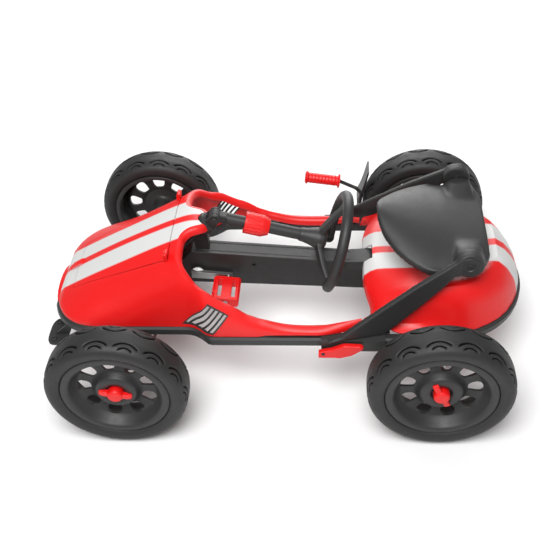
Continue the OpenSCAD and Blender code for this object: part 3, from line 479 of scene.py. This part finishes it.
def tyre(wheel):
    """One tyre, with its tread depth kept as an attribute."""
    x, y = WHEELS[wheel]
    side = 1 if y > 0 else -1
    section, along = tyre_section()
    angle = np.arange(TYRE_STEPS) * 2 * math.pi / TYRE_STEPS
    depth = tread(angle, along)
    pos = section[None] - TREAD_DEPTH * depth[:, :, None] * section_normals(section)[None]
    r, off = pos[:, :, 0], pos[:, :, 1]
    verts = np.stack([x + SHIFT_X + r * np.cos(angle)[:, None], y + side * off,
                      AXLE_Z + r * np.sin(angle)[:, None]], axis=2).reshape(-1, 3)
    m = len(section)
    i, j = np.meshgrid(np.arange(TYRE_STEPS), np.arange(m), indexing="ij")
    i2, j2 = (i + 1) % TYRE_STEPS, (j + 1) % m
    faces = np.stack([i * m + j, i * m + j2, i2 * m + j2, i2 * m + j], axis=2).reshape(-1, 4)
    mesh = bpy.data.meshes.new(wheel + "_tyre")
    mesh.from_pydata(verts.tolist(), [], faces.tolist())
    bm = bmesh.new()
    bm.from_mesh(mesh)
    bmesh.ops.recalc_face_normals(bm, faces=bm.faces)
    smooth(bm, 55.0)
    bm.to_mesh(mesh)
    bm.free()
    kept = mesh.attributes.new("tread", "FLOAT", "POINT")
    kept.data.foreach_set("value", depth.reshape(-1).astype(np.float32))
    return piece("look_" + wheel + "_tyre", mesh, wheel + "_tyre", "tyre_rubber")


# Front body: the shell around the cockpit, with its rolled rim, the steering's tongue and the hood's ledge
# Lengths in millimetres from the middle of the wheelbase, as in the solid
NOSE, LIP = 447.0, 464.0
HOOD_REAR, HOOD_FRONT = 212.0, 430.0
CORNER = 168.0              # where the dash's edge meets the cockpit's rim
BODY_REAR = -160
# Half width, lower edge, top, section power and half width of the opening along x
WIDTH = [(-170, 160), (-140, 168), (-115, 174), (-88, 180), (-60, 181), (100, 181), (132, 180), (146, 174),
         (158, 164), (172, 156), (190, 154), (360, 154)]
LOW = [(-170, 173), (20, 173), (45, 169), (460, 169)]
TOP = [(-170, 215), (-130, 206), (-90, 194.5), (-50, 192.6), (-10, 199.5), (30, 220), (50, 235), (62, 247),
       (78, 267), (93, 281), (105, 287), (125, 301), (142, 316), (152, 320), (165, 322.5), (185, 320.5),
       (216, 309.8)]
POWER = [(50, 3.0), (64, 2.8), (140, 2.8), (158, 3.2), (168, 3.5), (180, 3.7), (197, 3.4), (212, 3.0),
         (300, 2.2), (400, 1.9)]
RIM = [(-170, 153), (-140, 160), (-115, 164.5), (-88, 168), (30, 168), (70, 166.5), (93, 164), (125, 159.5),
       (142, 155.5), (155, 149.5), (168, 141), (182, 127), (197, 112), (212, 100), (430, 69.7), (447, 66),
       (464, 56)]
# Edge of the dash from its corner (0) to the middle (1): x and y
DASH_X = [(0.0, 168), (0.08, 179), (0.17, 188), (0.26, 194), (0.36, 197), (0.48, 197.5), (0.58, 197),
          (0.66, 195), (0.72, 190), (0.78, 181), (0.84, 170), (0.90, 160), (0.95, 152), (1.0, 149)]
DASH_Y = [(0.0, 141), (0.08, 132), (0.17, 121), (0.26, 109), (0.36, 95), (0.48, 80), (0.58, 62), (0.66, 50),
          (0.72, 41.5), (0.78, 33), (0.84, 27.5), (0.90, 23), (0.95, 15), (1.0, 0)]
ROLL = [(-160, 5), (-115, 9), (-80, 11)]        # radius of the rolled rim along x
ROLL_DROP = 4.0
LEDGE = ((-5, 3.4), (-1.5, 5.6), (9, 5.6))      # rebate under the hood: distance inward and depth
SIDE, ACROSS, OVER_NOSE = 18, 44, 12            # faces up a flank, along half the dash and over half the nose
BODY_T = 0.0036
STRIPED, PLAIN, SHADOW = 0, 1, 2                # places of the body's materials
SHAFT_HOLE_R = 0.0222


def curve(x, keys):
    """Smooth curve through (position, value) keys in rising order."""
    xs, ys = np.array(keys, float).T
    i = int(np.clip(np.searchsorted(xs, x) - 1, 0, len(xs) - 2))
    if x <= xs[0] or x >= xs[-1]:
        return float(ys[0] if x <= xs[0] else ys[-1])
    lo, hi = max(i - 1, 0), min(i + 2, len(xs) - 1)
    h = xs[i + 1] - xs[i]
    t = (x - xs[i]) / h
    a = h * (ys[i + 1] - ys[lo]) / (xs[i + 1] - xs[lo])
    b = h * (ys[hi] - ys[i]) / (xs[hi] - xs[i])
    return float(ys[i] * (1 + 2 * t) * (1 - t) ** 2 + a * t * (1 - t) ** 2
                 + ys[i + 1] * t * t * (3 - 2 * t) + b * t * t * (t - 1))


def hood_line(x):
    """Height of the hood's middle line: a slope with a slight crown."""
    return 309.8 - 0.507 * (x - 216.2) + 3.2 * (1 - ((x - 311) / 95) ** 2)


def inward_by(f):
    """How far the lines between the dash's edge and the hood have come inward, f of the way forward."""
    return f ** 1.6


def rim_at(x):
    """Half width of the opening; between the dash's corner and the hood, where the flank meets the top."""
    if not CORNER < x < HOOD_REAR:
        return curve(x, RIM)
    side, hood = curve(CORNER, RIM), curve(HOOD_REAR, RIM)
    return side + (hood - side) * inward_by((x - CORNER) / (HOOD_REAR - CORNER))


def shell_size(x):
    """Half width, lower edge, top and section power of the shell at x."""
    w = curve(x, WIDTH) if x < 360 else 154 * max(0.0, 1 - ((x - 360) / 112) ** 2.5) ** 0.4
    if x < 216:
        top = curve(x, TOP)
    else:
        top = hood_line(x) if x < NOSE else hood_line(NOSE) - 17 * ((x - NOSE) / (LIP - NOSE)) ** 1.5
    return w, curve(x, LOW), top, curve(x, POWER)


def on_shell(x, y):
    """Point of the shell above (x, y)."""
    w, low, top, n = shell_size(x)
    return (x, y, low + (top - low) * max(0.0, 1 - min(1.0, abs(y) / w) ** n) ** (1 / n))


def side_points(x, count):
    """Points from the shell's lower edge up to the rim."""
    w, low, top, n = shell_size(x)
    end = math.acos(min(1.0, (rim_at(x) / w) ** (n / 2)))
    out = []
    for k in range(count + 1):
        a = end * k / count
        out.append((x, w * math.cos(a) ** (2 / n), low + (top - low) * math.sin(a) ** (2 / n)))
    return out


def rows(a, b, step):
    """Even places from a to b, about a step apart."""
    n = max(1, round((b - a) / step))
    return [a + (b - a) * k / n for k in range(n + 1)]


def in_frame(x, y, z):
    """A point in metres in the part's frame from millimetres."""
    return (x / 1000 + SHIFT_X, y / 1000, z / 1000)


def strip(bm, lines, lip=STRIPED):
    """Faces between lines of points; doubles are merged later."""
    verts = [[bm.verts.new(in_frame(*p)) for p in line] for line in lines]
    mark = bm.faces.layers.int.get("lip") or bm.faces.layers.int.new("lip")
    for a, b in zip(verts, verts[1:]):
        for k in range(len(a) - 1):
            bm.faces.new((a[k], a[k + 1], b[k + 1], b[k]))[mark] = lip


def rolled(line, reach, drop):
    """Lines that roll a rim inward and down; the line runs along the left rim from the rear to the middle."""
    pts = np.array(line)
    way = np.gradient(pts[:, :2], axis=0)
    way /= np.maximum(np.linalg.norm(way, axis=1), 1e-9)[:, None]
    way[-1] = (0, -1)
    inward = np.stack([way[:, 1], -way[:, 0]], axis=1)
    for _ in range(4):
        inward[1:-1] = (inward[:-2] + 2 * inward[1:-1] + inward[2:]) / 4
    inward /= np.linalg.norm(inward, axis=1)[:, None]
    lines = [pts]
    for turn in range(15, 91, 15):
        t = math.radians(turn)
        ring = pts.copy()
        ring[:, :2] += inward * (reach * math.sin(t))[:, None]
        ring[:, 2] -= reach * (1 - math.cos(t))
        lines.append(ring)
    last = lines[-1].copy()
    last[:, 2] -= drop
    lines.append(last)
    return [[tuple(p) for p in ring] for ring in lines]


def ledge():
    """Lines of the rebate under the hood's edge, from its rear middle along the left side to the front."""
    path = [(HOOD_REAR, y, 1, 0) for y in rows(0, 90, 10)] + [(213.5, 97, 0.8, -0.6)]
    path += [(x, curve(x, RIM), 0.1, -1) for x in rows(222, 420, 11)] + [(428, 69, -0.7, -0.7)]
    path += [(HOOD_FRONT, y, -1, 0) for y in rows(60, 0, 10)]
    lines = []
    for out, drop in LEDGE:
        line = []
        for x, y, dx, dy in path:
            p = on_shell(x + dx * out, max(0.0, y + dy * out))
            line.append((p[0], p[1], p[2] - drop))
        lines.append(line)
    return lines


def dash_top(edge, count):
    """Lines from the dash's edge forward to the hood's opening."""
    shrink = rim_at(HOOD_REAR) / rim_at(CORNER) - 1
    lines = []
    for k in range(count + 1):
        f = k / count
        wide = 1 + shrink * inward_by(f)
        lines.append([on_shell(x + (HOOD_REAR - x) * f, y * wide) for x, y in edge])
    return lines


def nose_lines():
    """Lines over the nose in front of the hood, from the lower edge up and in to the middle."""
    lines = []
    for x in rows(HOOD_FRONT, LIP, 3.5):
        line = side_points(x, SIDE)
        y = line[-1][1]
        lines.append(line + [on_shell(x, y * (1 - k / OVER_NOSE)) for k in range(1, OVER_NOSE + 1)])
    return lines


def left_half(bm):
    """Faces of the shell's left half."""
    side_x = rows(BODY_REAR, CORNER, 6)
    front_x = rows(CORNER, HOOD_REAR, 6)[1:]
    hood_x = rows(HOOD_REAR, HOOD_FRONT, 7)[1:]
    flank = [side_points(x, SIDE) for x in side_x + front_x + hood_x]
    edge = [(curve(k / ACROSS, DASH_X), curve(k / ACROSS, DASH_Y)) for k in range(ACROSS + 1)]
    strip(bm, flank)
    strip(bm, [line[::-1] for line in dash_top(edge, len(front_x))])
    strip(bm, nose_lines())
    rim_line = [line[-1] for line in flank[:len(side_x)]] + [on_shell(*p) for p in edge[1:]]
    reach = np.array([curve(p[0], ROLL) for p in rim_line])
    strip(bm, [line[::-1] for line in rolled(rim_line, reach, ROLL_DROP)], PLAIN)
    strip(bm, ledge(), SHADOW)


def front_body():
    """The body's skin mirrored from its left half, with a wall, the vents' windows and the shaft's hole."""
    bm = bmesh.new()
    left_half(bm)
    mirrored = bmesh.ops.duplicate(bm, geom=bm.verts[:] + bm.edges[:] + bm.faces[:])["geom"]
    bmesh.ops.scale(bm, vec=(1, -1, 1), verts=[g for g in mirrored if isinstance(g, bmesh.types.BMVert)])
    bmesh.ops.remove_doubles(bm, verts=bm.verts, dist=4e-5)
    bmesh.ops.recalc_face_normals(bm, faces=bm.faces)
    if max(bm.faces, key=lambda f: f.calc_center_median().z).normal.z < 0:
        bmesh.ops.reverse_faces(bm, faces=bm.faces)
    smooth(bm, 50.0)
    mesh = bpy.data.meshes.new("front_body")
    bm.to_mesh(mesh)
    bm.free()
    obj = piece("look_front_body", mesh, "front_body", "red_plastic")
    mesh.materials.append(RED)
    mesh.materials.append(BLACK)
    lip = np.zeros(len(mesh.polygons), np.int32)
    mesh.attributes["lip"].data.foreach_get("value", lip)
    mesh.polygons.foreach_set("material_index", lip)
    walled(obj, BODY_T)
    for hand in (1, -1):
        window = [(x / 1000 + SHIFT_X, z / 1000) for x, z in VENT]
        cut_by(obj, solid("vent_window", [(*prism(window, 0.12, 0.2), upright(hand))]))
    hole = [(SHAFT_HOLE_R * math.cos(2 * math.pi * k / 64), SHAFT_HOLE_R * math.sin(2 * math.pi * k / 64))
            for k in range(64)]
    cut_by(obj, solid("shaft_hole", [(*prism(hole, -0.012, 0.050), EYE)], SHAFT))
    settle(obj)
    return obj


# Side vents: a thin frame and bars on the curve of the shell
VENT = [(133.8, 245.0), (94.6, 220.3), (128.2, 173.3), (193.1, 177.8)]    # corners (x, z) in mm, top first
SLOTS = 5
VENT_BORDER, BAR_HALF = 0.05, 0.034         # shares of the vent's width
VENT_END = 0.04                             # share of its length
VENT_STEPS = 14
VENT_PROUD = 0.5                            # mm
VENT_T = 0.0032


def vent_point(f, t, hand):
    """Point of a vent, f of the way across it and t along it."""
    top, rear, low_rear, low = np.array(VENT)
    x, z = (top * (1 - f) + rear * f) * (1 - t) + (low * (1 - f) + low_rear * f) * t
    w, bottom, height, n = shell_size(x)
    y = w * (1 - ((z - bottom) / (height - bottom)) ** n) ** (1 / n) + VENT_PROUD
    return in_frame(x, hand * y, z)


def vent(name):
    """Slotted insert in the body's left or right side."""
    hand = 1 if name == "left" else -1
    bars = [k / SLOTS + s for k in range(1, SLOTS) for s in (-BAR_HALF, BAR_HALF)]
    across = [0.0, VENT_BORDER] + bars + [1 - VENT_BORDER, 1.0]
    along = [0.0] + [VENT_END + (1 - 2 * VENT_END) * k / VENT_STEPS for k in range(VENT_STEPS + 1)] + [1.0]
    bm = bmesh.new()
    grid = [[bm.verts.new(vent_point(f, t, hand)) for t in along] for f in across]
    for i in range(len(across) - 1):
        for j in range(len(along) - 1):
            if i % 2 == 0 or j in (0, len(along) - 2):
                face = (grid[i][j], grid[i + 1][j], grid[i + 1][j + 1], grid[i][j + 1])
                bm.faces.new(face[::-hand])
    bmesh.ops.delete(bm, geom=[v for v in bm.verts if not v.link_faces], context="VERTS")
    bm.normal_update()
    if sum(f.normal.y * hand for f in bm.faces) < 0:
        bmesh.ops.reverse_faces(bm, faces=bm.faces)
    mesh = bpy.data.meshes.new(name + "_vent")
    bm.to_mesh(mesh)
    bm.free()
    obj = piece("look_" + name + "_vent", mesh, name + "_vent", SLOT_OF[name + "_vent"])
    walled(obj, VENT_T)
    settle(obj)
    return obj


# Rims and spinner caps
# Section of the dished disc (radius, height) and outline of one window, in millimetres
RIM_PROFILE = [(5.4, 12), (19, 12), (19.4, 20), (30, 22.5), (39, 20), (43, 12), (48, 6.5), (56, 4.5), (70, 5),
               (77, 8), (84, 19), (89, 29), (94, 32), (103, 31), (104.6, 29), (104.6, 25), (98, 25),
               (98, -31), (104, -31), (104, -34), (93, -34), (93, 18), (88, 12), (79, 2), (70, 0), (56, 0),
               (48, 2), (42, 5), (38, 4), (19, 2), (17, -34), (5.4, -34)]
WINDOW = [(50, -8), (57, -11.5), (66, -14), (73, -13.5), (77, -8), (78, 0), (77, 8), (73, 13.5), (66, 14),
          (57, 11.5), (50, 8), (49, 0)]
RIM_HOLES = 9
# How far each rim and each spinner is turned, in degrees
RIM_AT = {"front_left": -3.5, "front_right": 10.0, "rear_left": 25.0, "rear_right": 0.0}
SPINNER_AT = {"front_left": -11.0, "front_right": 30.0, "rear_left": -65.0, "rear_right": -40.0}
# Section of the knob (radius, height) and outline of its two wings, in metres
KNOB = [(0.0, 0.0123), (0.0150, 0.0123), (0.0155, 0.0250), (0.0145, 0.0300), (0.0120, 0.0325), (0.0, 0.0330)]
WING = [(-0.0325, 0.0235), (-0.0310, 0.0205), (-0.0200, 0.0185), (0.0200, 0.0185), (0.0310, 0.0205),
        (0.0325, 0.0235), (0.0310, 0.0265), (0.0200, 0.0290), (-0.0200, 0.0290), (-0.0310, 0.0265)]
WING_HALF_T = 0.0055


def on_wheel(wheel, turn):
    """Place on a wheel's middle, with Z outward along the axle, turned by degrees."""
    x, y = WHEELS[wheel]
    middle = Matrix.Translation((x + SHIFT_X, y, AXLE_Z)) @ outward(1 if y > 0 else -1)
    return middle @ Matrix.Rotation(math.radians(turn), 4, "Z")


def rim_mesh():
    """The dished wheel disc with its windows, about the Z axis, outside up."""
    obj = in_scene("rim", solid("rim", [(*turned(in_metres(rounded(RIM_PROFILE, 2)), 160), EYE)]))
    window = prism(rounded(in_metres(WINDOW), 2), -0.03, 0.06)
    turns = [Matrix.Rotation(math.radians(360 * k / RIM_HOLES), 4, "Z") for k in range(RIM_HOLES)]
    cut_by(obj, solid("windows", [(*window, turn) for turn in turns]))
    rounded_edges(obj, 0.0012, 50)
    settle(obj)
    mesh = obj.data
    bpy.data.objects.remove(obj)
    return mesh


RIM_MESH = rim_mesh()


def rim(wheel):
    """One wheel's disc."""
    mesh = RIM_MESH.copy()
    mesh.transform(on_wheel(wheel, RIM_AT[wheel]))
    return piece("look_" + wheel + "_rim", mesh, wheel + "_rim", "dark_plastic")


def spinner(wheel):
    """Knob with two wings on the middle of a wheel."""
    wings = prism(rounded(WING, 1), -WING_HALF_T, WING_HALF_T)
    parts = [(*turned(KNOB, 48), EYE), (*wings, Matrix.Rotation(math.radians(90), 4, "X"))]
    rough = solid(wheel + "_spinner", parts, on_wheel(wheel, SPINNER_AT[wheel]))
    mesh = fused(wheel + "_spinner", rough, 0.0010, 8)
    return piece("look_" + wheel + "_spinner", mesh, wheel + "_spinner", "red_plastic")


# Backrest: a drooping panel with the two bosses of its hinge, in millimetres
BACK_REAR, BACK_FRONT = -400, -190
BACK_TOP, BACK_RISE, BACK_T = 309, 39, 14       # top at the rear edge, rise to the front edge, thickness
BACK_HALF = [(-400, 92), (-392, 112), (-380, 121), (-335, 122), (-318, 130), (-297, 135), (-265, 122),
             (-229, 93), (-208, 64), (-196, 42), (-190, 18)]
DROOP = [(-400, 7), (-356, 9), (-325, 20), (-297, 31), (-229, 30), (-200, 19), (-190, 8)]
BOSS_X, BOSS_HALF, BOSS_Z, BOSS_R, BOSS_POWER = -359, 29, 300, 25, 2.4
BOSS_FROM, BOSS_BLEND = 56, 44                  # distance from the middle where a boss begins, and its ramp
HALF_COLUMNS = 32


def step(t):
    """Smooth step from 0 to 1."""
    t = min(1.0, max(0.0, t))
    return t * t * (3 - 2 * t)


def back_top(x, u):
    """Height of the panel and of what stands on it, u of the way from its middle to its side."""
    z = BACK_TOP + (x - BACK_REAR) * BACK_RISE / (BACK_FRONT - BACK_REAR) - curve(x, DROOP) * abs(u) ** 2.2
    swell = max(0.0, 1 - (abs(x - BOSS_X) / BOSS_HALF) ** BOSS_POWER) ** (1 / BOSS_POWER)
    rise = max(0.0, BOSS_Z + BOSS_R * swell - z)
    return z, z + rise * step((abs(u) * curve(x, BACK_HALF) - BOSS_FROM) / BOSS_BLEND)


def backrest():
    """Panel with the two bosses of its hinge swelling out of it."""
    xs = rows(BACK_REAR, BACK_FRONT, 4.2)
    us = [k / HALF_COLUMNS for k in range(-HALF_COLUMNS, HALF_COLUMNS + 1)]
    top, low = [], []
    for x in xs:
        for u in us:
            z, high = back_top(x, u)
            top.append(in_frame(x, u * curve(x, BACK_HALF), high))
            low.append(in_frame(x, u * curve(x, BACK_HALF), z - BACK_T))
    m, n = len(us), len(xs)
    count = m * n
    corners = [i * m + j for i in range(n - 1) for j in range(m - 1)]
    quads = [(k, k + 1, k + m + 1, k + m) for k in corners]
    border = (list(range(m)) + [i * m + m - 1 for i in range(1, n)]
              + [(n - 1) * m + j for j in range(m - 2, -1, -1)] + [i * m for i in range(n - 2, 0, -1)])
    faces = quads + [tuple(count + k for k in q[::-1]) for q in quads]
    faces += [(a, b, count + b, count + a) for a, b in zip(border, border[1:] + border[:1])]
    mesh = fused("backrest", solid("backrest", [(top + low, faces, EYE)]), 0.0024, 10)
    return piece("look_backrest", mesh, "backrest", "dark_plastic")


# Steering wheel, along the folded column from its joint
RIM_R, GRIP_R, WHEEL_S = 0.094, 0.011, 0.2476
OPEN_AT = 126               # degrees to each side where the rim ends
RING_SIDES, RING_STEPS = 16, 90
END_BALL = 1.06             # radius of the rim's ends, as a share of the grip's
HUB = [(0.0, 0.172), (0.0135, 0.172), (0.0150, 0.185), (0.0190, 0.200), (0.0220, 0.212), (0.0215, 0.222),
       (0.0160, 0.228), (0.0, 0.229)]
SPOKES = (-115.7, 0, 115.7)
SPOKE = ((0.006, 0.211, 0.012), (0.030, 0.2175, 0.0115), (0.060, 0.229, 0.0095), (0.093, 0.2445, 0.0085))
SPOKE_HALF_T = 0.0055       # the stations above are radius, place along the column and half width


def on_column(s):
    """Place on the folded column, s along it from the joint, with X up and Z along it."""
    turn = Matrix.Rotation(math.radians(-90 - FOLD), 4, "Y")
    return Matrix.Translation(PIVOT) @ turn @ Matrix.Translation((0, 0, s))


def wheel_ring():
    """The open rim: a bent round bar with a ball on each end."""
    m, ring = RING_SIDES, []
    for k in range(RING_STEPS + 1):
        a = math.radians(-OPEN_AT + 2 * OPEN_AT * k / RING_STEPS)
        for j in range(m):
            b = 2 * math.pi * j / m
            r = RIM_R + GRIP_R * math.cos(b)
            ring.append((r * math.cos(a), r * math.sin(a), WHEEL_S + GRIP_R * math.sin(b)))
    faces = [(k * m + j, k * m + (j + 1) % m, (k + 1) * m + (j + 1) % m, (k + 1) * m + j)
             for k in range(RING_STEPS) for j in range(m)]
    faces += [tuple(range(m)), tuple(RING_STEPS * m + j for j in range(m))]
    parts = [(ring, faces, EYE)]
    ball_r = GRIP_R * END_BALL
    ball = [(ball_r * math.sin(t * math.pi / 12), -ball_r * math.cos(t * math.pi / 12)) for t in range(13)]
    for end in (-OPEN_AT, OPEN_AT):
        a = math.radians(end)
        place = Matrix.Translation((RIM_R * math.cos(a), RIM_R * math.sin(a), WHEEL_S))
        parts.append((*turned(ball, 24), place))
    return parts


def spoke(turn):
    """One flat spoke that slopes from the hub to the rim."""
    t, pts = SPOKE_HALF_T, []
    for r, s, w in SPOKE:
        pts += [(r, -w, s - t), (r, w, s - t), (r, w, s + t), (r, -w, s + t)]
    faces = [(4 * k + j, 4 * k + (j + 1) % 4, 4 * k + 4 + (j + 1) % 4, 4 * k + 4 + j)
             for k in range(len(SPOKE) - 1) for j in range(4)]
    faces += [(0, 1, 2, 3), tuple(range(len(pts) - 4, len(pts)))]
    return pts, faces, Matrix.Rotation(math.radians(turn), 4, "Z")


def steering_wheel():
    """Hub cone, three sloping spokes and the open rim."""
    parts = [(*turned(HUB, 48), EYE)] + wheel_ring() + [spoke(turn) for turn in SPOKES]
    mesh = fused("steering_wheel", solid("steering_wheel", parts, on_column(0)), 0.0017, 7)
    return piece("look_steering_wheel", mesh, "steering_wheel", "dark_plastic")


# Small pieces, in metres; profiles are (radius, height)
ARM_FACE_Y, PIN_Y = 0.1440, 0.0965
ARM_CAP = [(0.0065, -0.002), (0.0205, -0.002), (0.0205, 0.0014), (0.0195, 0.0022), (0.0100, 0.0022),
           (0.0085, 0.0006), (0.0065, 0.0006)]
ARM_SCREW = [(0.0, -0.002), (0.0064, -0.002), (0.0064, -0.0002), (0.0040, 0.0010), (0.0034, -0.0010),
             (0.0, -0.0010)]
PIN = [(0.0, 0.0), (0.006, 0.0), (0.006, 0.044), (0.0, 0.044)]
COLLAR = [(0.0090, 0.0165), (0.0170, 0.0165), (0.0193, 0.0180), (0.0200, 0.0205), (0.0200, 0.0330),
          (0.0188, 0.0355), (0.0140, 0.0370), (0.0090, 0.0370)]
BEAM_END = [(-0.132, 0.2190), (-0.160, 0.2205), (-0.178, 0.2225), (-0.1858, 0.2190), (-0.1858, 0.198),
            (-0.132, 0.198)]
BEAM_HALF_W = 0.0203


def beside_back(hand, y):
    """Place on the backrest's hinge axis, y to one hand, with Z outward."""
    return Matrix.Translation((BACK_X + SHIFT_X, hand * y, BACK_Z)) @ outward(hand)


def extra(name, node, slot, part, place, sharp=35.0):
    """A small piece that rides with a CAD node without standing for it."""
    mesh = solid(name, [(*part, EYE)], place)
    shade(mesh, sharp)
    return piece(name, mesh, node, slot, replaces=False)


def details():
    """Caps and screws of the arms' heads, the collar of the steering joint and the beam's closed end."""
    for side, hand in (("left", 1), ("right", -1)):
        face = beside_back(hand, ARM_FACE_Y)
        extra(side + "_arm_cap", side + "_arm", "dark_plastic", turned(ARM_CAP, 64), face)
        extra(side + "_arm_screw", side + "_arm", "black_plastic", turned(ARM_SCREW, 24), face)
    extra("joint_collar", "lower_shaft", "dark_paint", turned(COLLAR, 64), SHAFT, 25.0)
    end = prism(rounded(BEAM_END, 1), -BEAM_HALF_W, BEAM_HALF_W)
    extra("beam_end", "main_beam", "dark_paint", end, upright(x=SHIFT_X))


def pivot_pins():
    """The two pins between the backrest and its arms."""
    parts = [(*turned(PIN, 32), beside_back(hand, PIN_Y)) for hand in (1, -1)]
    return piece("look_pivot_pins", solid("pivot_pins", parts), "pivot_pins", "steel")


# Bumper plates, in millimetres seen from above; heights and small profiles in metres
NOSE_REACH = 482.0
PLATE = [(440, 85), (440, 158), (NOSE_REACH, 158), (NOSE_REACH, 85)]
PLATE_LOW, PLATE_HIGH = 0.116, 0.120
WEB = [(0.440, 0.118), (0.470, 0.118), (0.442, 0.144), (0.428, 0.144)]     # (x, z)
WEB_Y, WEB_T = (0.092, 0.124), 0.005
BOLT_X, BOLT_Y = (NOSE_REACH - 13.5) / 1000, (0.094, 0.142)
BUSH = [(0.0031, 0.1160), (0.0068, 0.1160), (0.0064, 0.1222), (0.0045, 0.1228), (0.0031, 0.1210)]
BUSH_FLOOR = [(0.0, 0.1162), (0.0036, 0.1162), (0.0036, 0.1178), (0.0, 0.1178)]


def bumper_brackets():
    """Two flat plates with round corners and bushed holes, hung from the rails on two webs each."""
    parts = []
    for hand in (1, -1):
        flip = Matrix.Scale(hand, 4, (0, 1, 0)) @ Matrix.Translation((SHIFT_X, 0, 0))
        parts.append((*prism(rounded(in_metres(PLATE), 3), PLATE_LOW, PLATE_HIGH), flip))
        for y in WEB_Y:
            parts.append((*prism(WEB, y, y + WEB_T), flip @ upright()))
        for y in BOLT_Y:
            bolt = flip @ Matrix.Translation((BOLT_X, y, 0))
            parts.append((*turned(BUSH, 32), bolt))
            parts.append((*turned(BUSH_FLOOR, 24), bolt))
    mesh = solid("bumper_brackets", parts)
    shade(mesh, 35.0)
    return piece("look_bumper_brackets", mesh, "bumper_brackets", "dark_paint", 0.0008)


# Floor, light and camera
FLOOR_SIZE = 14.0
SKY = 0.30
# Name, place, size and power of each light, and the point that they face
LIGHTS = (("key", (0.15, 1.3, 2.4), 1.5, 72.0), ("back", (-0.1, -2.5, 1.3), 2.2, 58.0))
LIT = Vector((0, 0, 0.15))
# The photograph's camera, fitted to the wheel outlines: degrees, metres, and millimetres for the lens
AZIMUTH, ELEVATION, ROLL_ANGLE = 186.0108, 43.0406, -4.1315
TARGET = Vector((0.0090 + SHIFT_X, 0, 0.1508))
DISTANCE = 1.8049
LENS, SENSOR = 54.94, 36.0


def studio():
    """Pale floor, white surroundings and two soft lights."""
    bpy.ops.mesh.primitive_plane_add(size=FLOOR_SIZE, location=(0, 0, 0))
    floor = bpy.context.object
    floor.name = "floor"
    floor.data.materials.append(surface("floor", grey(0.90), grey(0.92), (0.75, 0.85), bump=0.02, worn=0.0))
    bpy.context.scene.view_settings.view_transform = "Standard"
    world = bpy.data.worlds.new("studio")
    bpy.context.scene.world = world
    world.use_nodes = True
    sky = world.node_tree.nodes["Background"]
    sky.inputs["Color"].default_value = (1, 1, 1, 1)
    sky.inputs["Strength"].default_value = SKY
    for name, place, size, power in LIGHTS:
        lamp = bpy.data.lights.new(name, "AREA")
        lamp.shape = "DISK"
        lamp.size = size
        lamp.energy = power
        obj = in_scene(name, lamp)
        obj.location = place
        obj.rotation_euler = (LIT - Vector(place)).to_track_quat("-Z", "Y").to_euler()


def camera():
    """The photograph's view."""
    azimuth, elevation, roll = (math.radians(a) for a in (AZIMUTH, ELEVATION, ROLL_ANGLE))
    back = Vector((math.sin(azimuth) * math.cos(elevation), -math.cos(azimuth) * math.cos(elevation),
                   math.sin(elevation)))
    right = Vector((0, 0, 1)).cross(back).normalized()
    up = back.cross(right)
    right, up = math.cos(roll) * right + math.sin(roll) * up, math.cos(roll) * up - math.sin(roll) * right
    data = bpy.data.cameras.new("photo_view")
    data.sensor_width = SENSOR
    data.lens = LENS
    obj = in_scene("photo_view", data)
    obj.matrix_world = Matrix((right, up, back)).transposed().to_4x4()
    obj.location = TARGET + back * DISTANCE
    bpy.context.scene.camera = obj


# The whole kart: pieces drawn anew by name, families by the last word of their name, and dressed copies
DRAWN = {"front_body": front_body, "backrest": backrest, "steering_wheel": steering_wheel,
         "pivot_pins": pivot_pins, "bumper_brackets": bumper_brackets}
FAMILY = {"tyre": tyre, "rim": rim, "spinner": spinner, "vent": vent}


def build(node):
    """The visible piece that stands for a CAD node."""
    owner, _, kind = node.rpartition("_")
    if node in DRAWN:
        DRAWN[node]()
    elif kind in FAMILY:
        FAMILY[kind](owner)
    elif node in MOULDED:
        moulded(node, *MOULDED[node])
    else:
        dressed(node)


for name in NODES:
    build(name)
details()
studio()
camera()
